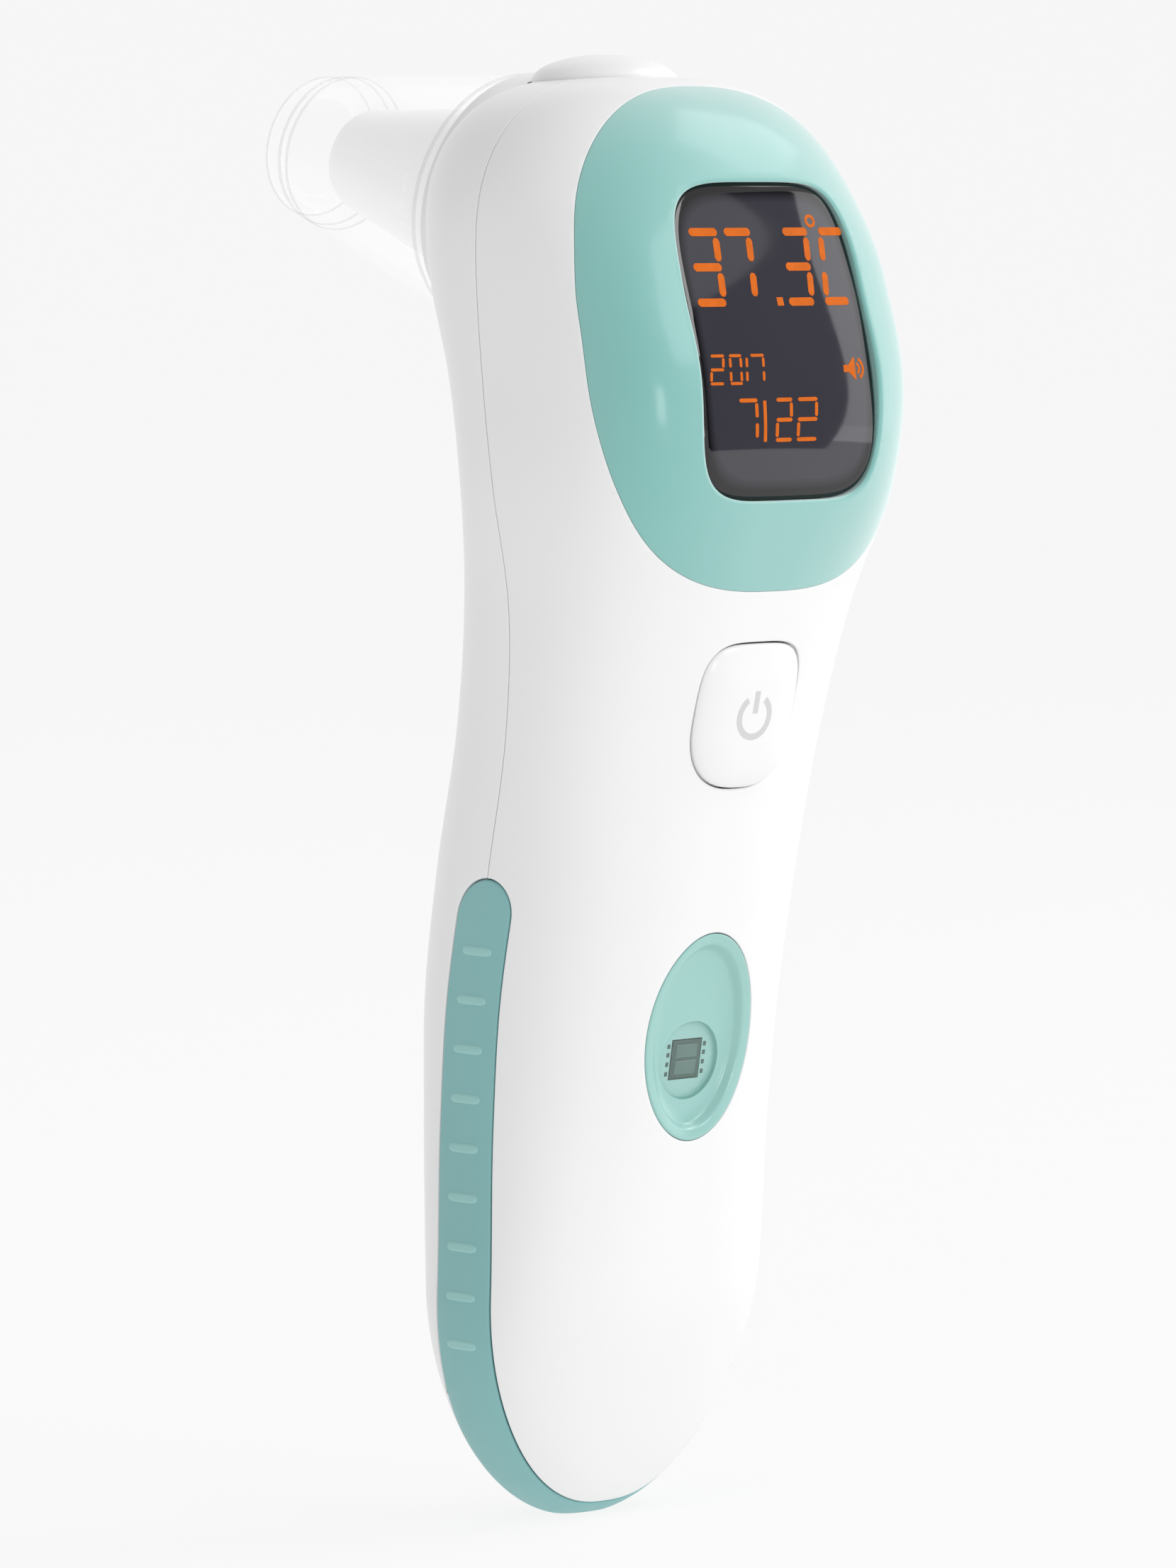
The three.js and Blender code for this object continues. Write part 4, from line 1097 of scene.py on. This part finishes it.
def power_button():
    """A pillow-shaped plunger with a flange behind it."""
    outline = panel_outline(BUTTON, -0.05)
    middle = np.array([0.0, BUTTON[0]])
    flange_front, flange_back, lip = BUTTON_FLANGE
    rings = []
    for reach in np.sin(np.linspace(0.02, 1, 36) * np.pi / 2):
        x, z = (middle + (outline - middle) * reach).T
        rings.append(np.column_stack([x, button_face(x, z), z]))
    x, z = outline.T
    rings.append(np.column_stack([x, button_face(x, z) + 0.2, z]))
    rings.append(np.column_stack([x, np.full(len(x), flange_front + 0.5), z]))
    piece = make_piece("power_button_body", loft(rings))
    flange = prism(panel_outline(BUTTON, lip), 1, flange_front + 0.3, flange_back)
    combine(piece, flange, "UNION")
    return finish_piece(piece, "white_shell", "front_button", "white_shell", "power_button", angle=50)


def ribbon(path, half_widths, surface, lift=0.03, thick=0.12):
    """A thin strip laid on a surface along an (x, z) path."""
    path = np.asarray(path, float)
    along = unit(np.gradient(path, axis=0))
    across = np.column_stack([-along[:, 1], along[:, 0]])
    widths = np.broadcast_to(half_widths, len(path))[:, None]
    rings = []
    for left, right in zip(path - across * widths, path + across * widths):
        corners = ((left, lift), (right, lift), (right, lift - thick), (left, lift - thick))
        rings.append([(x, surface(x, z) - height, z) for (x, z), height in corners])
    return loft(rings, fans=False)


def power_symbol():
    """The usual sign for power: an open ring with a bar in its gap."""
    z, radius, half_stroke, gap = SYMBOL

    def surface(x, height):
        return float(button_face(np.array(x), np.array(height)))

    angle = np.linspace(math.pi / 2 + gap, math.pi / 2 - gap + 2 * math.pi, 60)
    arc = np.column_stack([radius * np.cos(angle), z + radius * np.sin(angle)])
    bar = np.column_stack([np.zeros(10), np.linspace(z + 0.35, z + radius + 0.55, 10)])
    parts = [ribbon(line, half_stroke, surface) for line in (arc, bar)]
    return build_piece("power_symbol", merge_meshes(parts), "symbol", "front_button", "white_shell")


def scan_button():
    """A low dome over the side wall, on a flange."""
    low, high, lip = SCAN_FLANGE
    grow = 1 + lip / SCAN_HALF_X
    turn = np.linspace(0, np.pi / 2, 26)[:-1]
    rise = SCAN_TOP - SCAN_SHOULDER
    profile = [(low, grow - 0.02), (low + 0.15, grow), (high - 0.15, grow), (high, grow - 0.02),
               (high, 1.0)]
    profile += [(z, 1.0) for z in np.linspace(high + 0.3, SCAN_SHOULDER, 8)[:-1]]
    profile += [(SCAN_SHOULDER + rise * math.sin(a), math.cos(a)) for a in turn]
    rings = []
    for z, scale in profile:
        outline = ellipse(SCAN_HALF_X * scale, SCAN_HALF_Y * scale, SCAN_Y)
        rings.append(np.column_stack([outline, np.full(len(outline), z)]))
    return build_piece("scan_button_body", loft(rings), "white_shell", "top_button", "white_shell",
                       "scan_button")


# ---------------------------------------------------------------- display

# Each segment runs between two of the six corners of a digit, counted in half heights
SEGMENTS = {
    "a": ((0, 2), (1, 2)), "b": ((1, 2), (1, 1)), "c": ((1, 1), (1, 0)), "d": ((0, 0), (1, 0)),
    "e": ((0, 1), (0, 0)), "f": ((0, 2), (0, 1)), "g": ((0, 1), (1, 1)),
}
GLYPHS = {"0": "abcdef", "1": "bc", "2": "abged", "3": "abgcd", "7": "abc", "C": "afed"}

# Glyph, left edge, width and slant (how far the top leans to +X) of each digit in a row
READING = (("3", -10.85, 3.85, 0.9), ("7", -6.6, 3.75, 1.14), ("3", 1.2, 3.9, 1.4), ("C", 6.5, 3.9, 1.5))
YEAR = (("2", -10.84, 1.78, 0.5), ("0", -8.28, 1.67, 0.25), ("1", -7.2, 1.3, 0.35), ("7", -5.5, 1.85, 0.28))
DATE = (("7", -7.35, 2.5, 0.0), ("2", -2.6, 2.3, 0.2), ("2", 0.3, 2.9, 0.3))
READING_ROW = (124.95, 7.8, 0.82)  # lowest z, height and stroke of the digits
YEAR_ROW = (117.2, 3.05, 0.3)
DATE_ROW = (111.45, 4.4, 0.4)

# Single strokes as start, run and half width, and the two round signs, all in (x, z)
POINT = ((-0.25, 125.4), (0.85, 0.0), 0.42)
SLASH = ((-3.95, 111.5), (0.0, 4.1), 0.2)
DEGREE = ((7.1, 133.4), (0.6, 0.5), 0.16)
SPEAKER = ((7.75, 118.6), (1.75, 0.0))
SOUND_X = 9.4
SOUND_RADII = (0.7, 1.3)


def glyph(shape, left, width, slant, row):
    """Strips for one seven-segment digit, each ending just short of its neighbours."""
    low, height, stroke = row
    half = stroke / 2
    strips = []
    for name in GLYPHS[shape]:
        ends = np.array(SEGMENTS[name], float)
        ends[:, 0] = left + half + ends[:, 0] * (width - stroke)
        ends[:, 1] = low + half + ends[:, 1] * (height - stroke) / 2
        run = unit(ends[1] - ends[0])
        flat = abs(run[0]) > 0.5
        short = -0.3 * stroke if flat else 0.72 * stroke
        ends += np.array([run, -run]) * short
        t = np.linspace(0, 1, 14)
        line = ends[0] + (ends[1] - ends[0]) * t[:, None]
        line[:, 0] += slant * (line[:, 1] - low) / height
        from_end = np.minimum(t, t[::-1]) * np.linalg.norm(ends[1] - ends[0])
        strips.append((line, np.minimum(half, 0.2 * stroke + 0.9 * from_end)))
    return strips


def display_digits():
    """The reading, the year, the date and a small loudspeaker, lit on the lens."""
    strips = []
    for digits, row in ((READING, READING_ROW), (YEAR, YEAR_ROW), (DATE, DATE_ROW)):
        for shape, left, width, slant in digits:
            strips += glyph(shape, left, width, slant, row)
    t = np.linspace(0, 1, 8)[:, None]
    for start, run, half in (POINT, SLASH):
        strips.append((np.array(start) + t * np.array(run), half))
    turn = np.linspace(0, 2 * np.pi, 40)
    (x, z), (half_x, half_z), half = DEGREE
    strips.append((np.column_stack([x + half_x * np.cos(turn), z + half_z * np.sin(turn)]), half))
    start, run = SPEAKER
    strips.append((np.array(start) + t * np.array(run), 0.36 + 0.8 * np.clip(2 * t[:, 0] - 0.9, 0, 1)))
    arc = np.linspace(-1.0, 1.0, 16)
    for radius in SOUND_RADII:
        wave = np.column_stack([SOUND_X + radius * np.cos(arc), start[1] + 0.85 * radius * np.sin(arc)])
        strips.append((wave, 0.15))

    def surface(x, z):
        return float(lens_y(x, z)) + LENS_INSET

    strips = merge_meshes([ribbon(path, half, surface) for path, half in strips])
    return build_piece("display_digits", strips, "digits", "housing", "lcd_glass")


# ---------------------------------------------------------------- fingertip dish

def finger_dish():
    """A shallow bowl in a sloping rim, with a steep wall between them and a hole for the sensor."""
    hole = PULSE_RADIUS + 0.15
    angle = np.linspace(0, 2 * np.pi, 160, endpoint=False)
    rings = []

    def ring(half_x, half_z, middle, depth):
        x = half_x * np.cos(angle)
        z = middle + half_z * np.sin(angle)
        rings.append(np.column_stack([x, skin_y(x, z, FRONT_SIDE) + depth, z]))

    def rim(width, depth):
        ring(DISH_HALF_X - width, DISH_HALF_Z - width, DISH_Z, depth)

    def bowl(t, extra=0.0):
        """From the foot of the wall (0) to the hole (1)."""
        foot = DISH_RIM + DISH_WALL
        middle = DISH_Z + (PULSE_Z - DISH_Z) * t
        depth = DISH_WALL_DEPTH + (DISH_DEPTH - DISH_WALL_DEPTH) * (1 - (1 - t) ** 2)
        half_x = DISH_HALF_X - foot
        half_z = DISH_HALF_Z - foot
        ring(half_x + (hole - half_x) * t, half_z + (hole - half_z) * t, middle, depth + extra)

    roll = 0.16
    rim(0, DISH_THICK)
    for a in np.linspace(0, np.pi / 2, 5):
        rim(roll * (1 - math.cos(a)), roll * (1 - math.sin(a)))
    for t in np.linspace(0, 1, 5)[1:]:
        rim(roll + (DISH_RIM - roll) * t, DISH_RIM_DEPTH * t)
    for t in np.linspace(0, 1, 9)[1:]:
        ease = t * t * (3 - 2 * t)
        rim(DISH_RIM + DISH_WALL * t, DISH_RIM_DEPTH + (DISH_WALL_DEPTH - DISH_RIM_DEPTH) * ease)
    for t in np.linspace(0, 1, 24)[1:]:
        bowl(t)
    for t in np.linspace(1, 0, 10):
        bowl(t, DISH_THICK)
    return build_piece("finger_dish_body", loft(rings, looped=True), "dish", "housing", "teal_bezel",
                       "finger_dish", angle=40)


def in_dish(mesh_data):
    """Moves a sensor shape to the bottom of the dish, leaning as the handle does there."""
    bottom = float(skin_y(np.array(0.0), np.array(PULSE_Z), FRONT_SIDE)) + DISH_DEPTH
    return placed(mesh_data, (0.0, bottom, PULSE_Z), PULSE_TILT)


def sensor_window():
    """A clear disc with a fine raised ring near its edge."""
    r = PULSE_RADIUS
    profile = [(0.02, 0.0), (r - 0.75, 0.0), (r - 0.65, -0.08), (r - 0.5, -0.08), (r - 0.4, 0.0),
               (r - 0.1, 0.0), (r, 0.1), (r, PULSE_WINDOW_THICK), (0.02, PULSE_WINDOW_THICK)]
    profile = [(radius, along + 0.08) for radius, along in profile]
    disc = in_dish(lathe(profile, 96, on_axis=True))
    return build_piece("sensor_window_body", disc, "clear_window", "housing", "clear_plastic",
                       "sensor_window", angle=20)


def chip_block(x0, x1, z0, z1, front, thick, edge=0.06):
    """A flat package with bevelled edges, facing -Y."""
    rings = []
    for depth, shrink in ((0.0, edge), (edge, 0.0), (thick, 0.0)):
        a, b, c, d = x0 + shrink, x1 - shrink, z0 + shrink, z1 - shrink
        y = front + depth
        rings.append([(a, y, c), (b, y, c), (b, y, d), (a, y, d)])
    return loft(rings, fans=False)


def sensor_well():
    """A teal backing under the window, with a square opening that the chip stands in."""
    radius = PULSE_RADIUS + 0.45
    half = CHIP_SIZE / 2 + 0.12
    front = PULSE_BEHIND + 0.05
    angle = np.linspace(0, 2 * np.pi, 96, endpoint=False)
    turn = np.column_stack([np.cos(angle), np.sin(angle)])
    inner = half * turn / np.abs(turn).max(axis=1, keepdims=True)
    outer = radius * turn
    levels = ((outer, front), (outer, front + 0.3), (inner, front + 0.3), (inner, front))
    rings = [np.insert(outline, 1, depth, axis=1) for outline, depth in levels]
    return build_piece("sensor_well", in_dish(loft(rings, looped=True)), "dish", "housing", "teal_bezel",
                       angle=30)


def pulse_sensor():
    """The optical sensor: a dark package, two little windows in its face and its solder pads."""
    half = CHIP_SIZE / 2
    package = chip_block(-half, half, -half, half, PULSE_BEHIND, 1.0)
    build_piece("pulse_sensor_package", in_dish(package), "chip", "housing", "black_plastic",
                "pulse_sensor_chip", angle=20)
    windows = [chip_block(-1.45, 1.5, low, high, PULSE_BEHIND - 0.04, 0.1, 0.03)
               for low, high in ((-1.6, -0.2), (0.15, 1.5))]
    build_piece("pulse_sensor_windows", in_dish(merge_meshes(windows)), "chip_glass", "housing",
                "black_plastic", angle=20)
    pads = [chip_block(x - 0.22, x + 0.22, z - 0.25, z + 0.25, PULSE_BEHIND + 0.02, 0.28, 0.04)
            for x in (-half - 0.5, half + 0.5) for z in PAD_ROWS]
    build_piece("pulse_sensor_pads", in_dish(merge_meshes(pads)), "chip", "housing", "steel", angle=20)


# ---------------------------------------------------------------- probe and cap

def ear_probe():
    profile = rounded_profile([
        (11.5, -1.6), (11.5, 2.5), (9.6, 2.9), (5.5, 23.6), (5.2, 24.6), (4.6, 25), (3.9, 25),
        (3.9, 23.9), (3.0, 23.9), (3.0, 22), (4.0, 21.6), (8.2, 3), (9.9, 1), (9.9, -1.6)], 0.35)
    build_piece("ear_probe_body", to_probe(lathe(profile)), "probe", "housing", "white_shell",
                "ear_probe", angle=40)
    window = rounded_profile([(0.02, 24.1), (3.6, 24.1), (3.6, 24.8), (0.02, 24.8)], 0.12)
    build_piece("probe_window_body", to_probe(lathe(window, 64, on_axis=True)), "smoked_lens",
                "housing", "smoked_lens", "probe_window", angle=40)


def probe_cap():
    """A clear cone with a base flange, a rounded open end and two grip tabs."""
    outer = [(13.6, 0.4), (13.6, 1.1), (13.3, 1.4), (13.1, 1.7), (12.35, 6.5), (10.9, 14.5),
             (9.3, 22.5), (8.32, 27.0), (8.1, 28.2), (7.8, 30.0), (7.6, 31.6), (7.1, 32.5), (6.3, 32.6)]
    inner = [(5.3, 32.5), (5.2, 32.0), (5.25, 31.4), (6.2, 31.3), (6.55, 30.6), (6.7, 29.4),
             (11.9, 3.2), (11.9, 0.4)]
    profile = rounded_profile(outer + inner, 0.3, 4)
    piece = make_piece("probe_cap_body", to_probe(lathe(profile, 160)))
    along, length, across, radius, proud = CAP_GRIP
    for side in (-1, 1):
        rings = []
        for out, shrink in ((-0.5, 0.0), (proud - 0.25, 0.0), (proud - 0.07, 0.08), (proud, 0.25)):
            x = side * (radius + out)
            a0, a1 = along - length / 2 + shrink, along + length / 2 - shrink
            half = across / 2 - shrink
            rings.append([(x, a0, -half), (x, a1, -half), (x, a1, half), (x, a0, half)])
        combine(piece, make_piece("tab", to_probe(loft(rings, fans=False))), "UNION")
    return finish_piece(piece, "clear_plastic", "cap", "clear_plastic", "probe_cap")


def cap_edges():
    """Fine ridges round the cap, coloured grey as painted shade for the darker look of the thick clear wall
    there.
    """
    sunk, proud, bevel = 0.06, 0.1, 0.08
    parts = []
    for radius, along, width in CAP_RIDGES:
        ridge = [(radius - sunk, along), (radius + proud, along + bevel),
                 (radius + proud, along + width - bevel), (radius - sunk, along + width)]
        parts.append(to_probe(lathe(ridge, 128)))
    return build_piece("cap_ridges", merge_meshes(parts), "clear_edge_painted_shade", "cap", "clear_plastic")


# ---------------------------------------------------------------- battery bay

def box_mm(node):
    """A CAD node's lowest corner, middle and highest corner, in millimetres."""
    low, high = (np.array(corner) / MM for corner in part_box(node))
    return low, (low + high) / 2, high


def battery(name, node, up):
    """A cell with a sleeve that folds over its ends, a steel base and a nub."""
    low, middle, high = box_mm(node)
    start = (middle[0], middle[1], low[2] if up > 0 else high[2])
    r, length = CELL_RADIUS, CELL_LENGTH
    nub_radius, nub = CELL_NUB

    def standing(profile):
        return placed(lathe(profile, 96, on_axis=True), start, math.copysign(math.pi / 2, up))

    side = [(r - 0.75, 0.03), (r - 0.25, 0.0), (r - 0.05, 0.12), (r, 0.35)]
    sleeve = side + [(radius, length - along) for radius, along in reversed(side)]
    build_piece(name, standing(sleeve), "cell_wrap", "housing", "cell_wrap", node, angle=50)
    base = [(0.02, 0.06), (r - 0.8, 0.06), (r - 0.8, 0.4), (0.02, 0.4)]
    nose = [(0.02, length - 0.4), (r - 0.8, length - 0.4), (r - 0.8, length - 0.08),
            (nub_radius + 0.3, length), (nub_radius, length + 0.1), (nub_radius, length + nub - 0.2),
            (nub_radius - 0.2, length + nub), (0.02, length + nub)]
    ends = merge_meshes([standing(base), standing(nose)])
    build_piece(name + "_ends", ends, "steel", "housing", "steel", angle=40)


def contact_spring(name, node, down):
    """A cone of wire, which is widest at its base."""
    low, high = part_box(node)
    middle = (low + high) / 2
    wire, narrow, turns = SPRING[0] * MM, SPRING[1] * MM, SPRING[2]
    curve = bpy.data.curves.new(name, "CURVE")
    curve.dimensions = "3D"
    curve.bevel_depth = wire
    curve.bevel_resolution = 4
    curve.use_fill_caps = True
    spline = curve.splines.new("POLY")
    count = 160
    spline.points.add(count - 1)
    reach = high.z - low.z - 2 * wire
    wide = (high.x - low.x) / 2 - wire
    for point, t in zip(spline.points, np.linspace(0, 1, count)):
        radius = wide + (narrow - wide) * t
        angle = 2 * math.pi * turns * t
        rise = wire + reach * t
        z = high.z - rise if down else low.z + rise
        point.co = (middle.x + radius * math.cos(angle), middle.y + radius * math.sin(angle), z, 1)
    piece = add_object(name, curve)
    curve.materials.append(LOOKS["steel"])
    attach(piece, "housing")
    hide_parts(node)


def screw(name, node):
    """A pan-head screw with a cross recess and a finely stepped shank."""
    _, (x, _, z), (_, top, _) = box_mm(node)
    head, head_height = SCREW_HEAD
    shank, length = SCREW_SHANK
    profile = [(0.02, 0.0), (0.7, -0.02), (1.25, -0.14), (1.58, -0.42), (head, -0.8),
               (head, -head_height), (shank, -head_height)]
    crest = -head_height - 0.8
    while crest > -length:
        profile += [(shank - 0.12, crest), (shank, crest - 0.2)]
        crest -= 0.6
    profile += [(0.3, -length - head_height), (0.02, -length - head_height)]
    piece = make_piece(name, placed(lathe(profile, 40, on_axis=True), (x, top, z)))
    reach, slot, deep = SCREW_SLOT
    for half_x, half_z in ((reach, slot), (slot, reach)):
        cut(piece, block((x - half_x, top - deep, z - half_z), (x + half_x, top + 1, z + half_z)))
    finish_piece(piece, "steel", "housing", "steel", node, angle=30)


# ---------------------------------------------------------------- carried-over nodes and the studio

def dress_inner_nodes(frame):
    """Gives each CAD node that still shows its procedural material."""
    for entry in frame["record"]["subparts"]:
        node = frame["nodes"].get(entry["node"])
        if node is None or node.hide_render:
            continue
        look = LOOKS[entry["material_slot"]]
        node.data.materials.clear()
        node.data.materials.append(look)


def studio_floor():
    """A pale floor that curves up into a backdrop behind the object."""
    pale = (0.9, 0.9, 0.9)
    material = surface_look("studio_paper", (0.1, 0.1, 0.1), 0.9, mottle=0.01, spread=0.03, height=0.00002,
                            Specular_IOR_Level=0.0, Emission_Color=(*pale, 1.0), Emission_Strength=0.95)
    reach = 4.0
    radius = 1.2
    turn = np.linspace(0, np.pi / 2, 24)
    profile = [(-reach, 0.0), (reach - radius, 0.0)]
    profile += [(reach - radius + radius * math.sin(a), radius * (1 - math.cos(a))) for a in turn[1:]]
    profile.append((reach, 4.0))
    rings = []
    for side in (-reach * 1.5, reach * 1.5):
        rings.append([(side, along, up) for along, up in profile])
    points = [p for ring in rings for p in ring]
    count = len(profile)
    faces = [(i, i + 1, count + i + 1, count + i) for i in range(count - 1)]
    mesh = bpy.data.meshes.new("studio_floor")
    mesh.from_pydata(points, [], faces)
    mesh.shade_smooth()
    mesh.materials.append(material)
    floor = add_object("studio_floor", mesh)
    floor.rotation_euler = (0, 0, VIEW_AZIMUTH)


def soft_light(name, place, aim, size, power):
    data = bpy.data.lights.new(name, "AREA")
    data.shape = "RECTANGLE"
    data.size, data.size_y = size
    data.energy = power
    light = add_object(name, data)
    light.location = place
    light.rotation_euler = (aim - place).to_track_quat("-Z", "Y").to_euler()


# Each softbox: direction from the object, distance, width and height in metres, and radiance
SOFTBOXES = {
    "key_softbox": ((0.64, -0.22, 0.72), 1.2, (0.6, 0.6), 3.9),
    "front_softbox": ((0.22, -0.80, 0.50), 1.1, (0.44, 0.4), 4.6),
    "glint_softbox": ((-0.33, -0.93, -0.10), 0.9, (0.15, 0.42), 11.0),
    "right_softbox": ((0.90, -0.42, 0.10), 1.1, (0.72, 0.8), 1.1),
}
# The dark card's corners, in degrees round from the front and up, and how far off it stands
CARD_CORNERS = ((25, -8), (47.5, -8.7), (57, 24), (25, 25))
CARD_DISTANCE = 0.75
WORLD_STRENGTH = 0.62


def dark_card():
    """A dark card beside the right softbox, seen only as a darker field that the lens mirrors."""
    middle = Vector((0, 0, 0.12))
    corners = []
    for turn, rise in CARD_CORNERS:
        turn, rise = math.radians(turn), math.radians(rise)
        out = Vector((math.sin(turn), -math.cos(turn), math.tan(rise)))
        corners.append(middle + out * CARD_DISTANCE)
    mesh = bpy.data.meshes.new("dark_card")
    mesh.from_pydata(corners, [], [(0, 1, 2, 3)])
    mesh.materials.append(surface_look("card_felt", (0.03, 0.03, 0.03), 0.9))
    card = add_object("dark_card", mesh)
    card.visible_camera = False
    card.visible_diffuse = False
    card.visible_shadow = False
    card.visible_transmission = False


def studio_lights():
    aim = Vector((0, 0, 0.09))
    for name, (direction, distance, size, radiance) in SOFTBOXES.items():
        place = aim + Vector(direction).normalized() * distance
        power = radiance * math.pi * size[0] * size[1]
        soft_light(name, place, aim, size, power)
    world = bpy.data.worlds.new("studio")
    world.use_nodes = True
    background = world.node_tree.nodes["Background"]
    background.inputs["Color"].default_value = (1.0, 1.0, 1.0, 1.0)
    background.inputs["Strength"].default_value = WORLD_STRENGTH
    bpy.context.scene.world = world


VIEW_AZIMUTH = math.radians(-43)
VIEW_ELEVATION = math.radians(4.2)
VIEW_TARGET = (0.0, -1.7, 75.5)
VIEW_DISTANCE = 839.4
SENSOR_HEIGHT = 36.0
FOCAL_PER_HEIGHT = 11500 / 2212  # focal length over the height of the frame


def studio_camera():
    """The camera of the reference view: far off, left of the display, a little above the middle."""
    data = bpy.data.cameras.new("camera")
    data.sensor_fit = "VERTICAL"
    data.sensor_height = SENSOR_HEIGHT
    data.lens = SENSOR_HEIGHT * FOCAL_PER_HEIGHT
    data.clip_end = 20
    camera = add_object("camera", data)
    flat = math.cos(VIEW_ELEVATION)
    back = Vector((math.sin(VIEW_AZIMUTH) * flat, -math.cos(VIEW_AZIMUTH) * flat, math.sin(VIEW_ELEVATION)))
    camera.location = (Vector(VIEW_TARGET) + back * VIEW_DISTANCE) * MM
    camera.rotation_euler = (-back).to_track_quat("-Z", "Y").to_euler()
    bpy.context.scene.camera = camera
    bpy.context.scene.view_settings.view_transform = "Standard"


# ---------------------------------------------------------------- assembly

def build_housing():
    skin = make_piece("skin", loft(body_rings(0.0, SKIN_STEP, QUARTER_STEPS)))
    lining = make_piece("lining", loft(body_rings(WALL, LINING_STEP, LINING_QUARTER)))
    rear_shell(skin, lining)
    battery_cover(skin)
    shell = copy_piece(skin, "shell")
    cut(shell, lining, block(*UNDER))
    front_shell(shell, skin)
    side_band(shell)
    grip_ribs()
    display_bezel(shell)
    drop(shell)
    drop(skin)
    display_lens()
    display_digits()


def build_battery_bay():
    battery("battery_1_sleeve", "battery_1", 1)
    battery("battery_2_sleeve", "battery_2", -1)
    contact_spring("battery_1_spring", "battery_spring_1", False)
    contact_spring("battery_2_spring", "battery_spring_2", True)
    for i in range(1, 1 + len(screw_places())):
        screw(f"screw_{i}_fine", f"screw_{i}")


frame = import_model()

build_housing()
power_button()
power_symbol()
scan_button()
finger_dish()
sensor_window()
sensor_well()
pulse_sensor()
ear_probe()
probe_cap()
cap_edges()
build_battery_bay()
dress_inner_nodes(frame)
studio_floor()
dark_card()
studio_lights()
studio_camera()
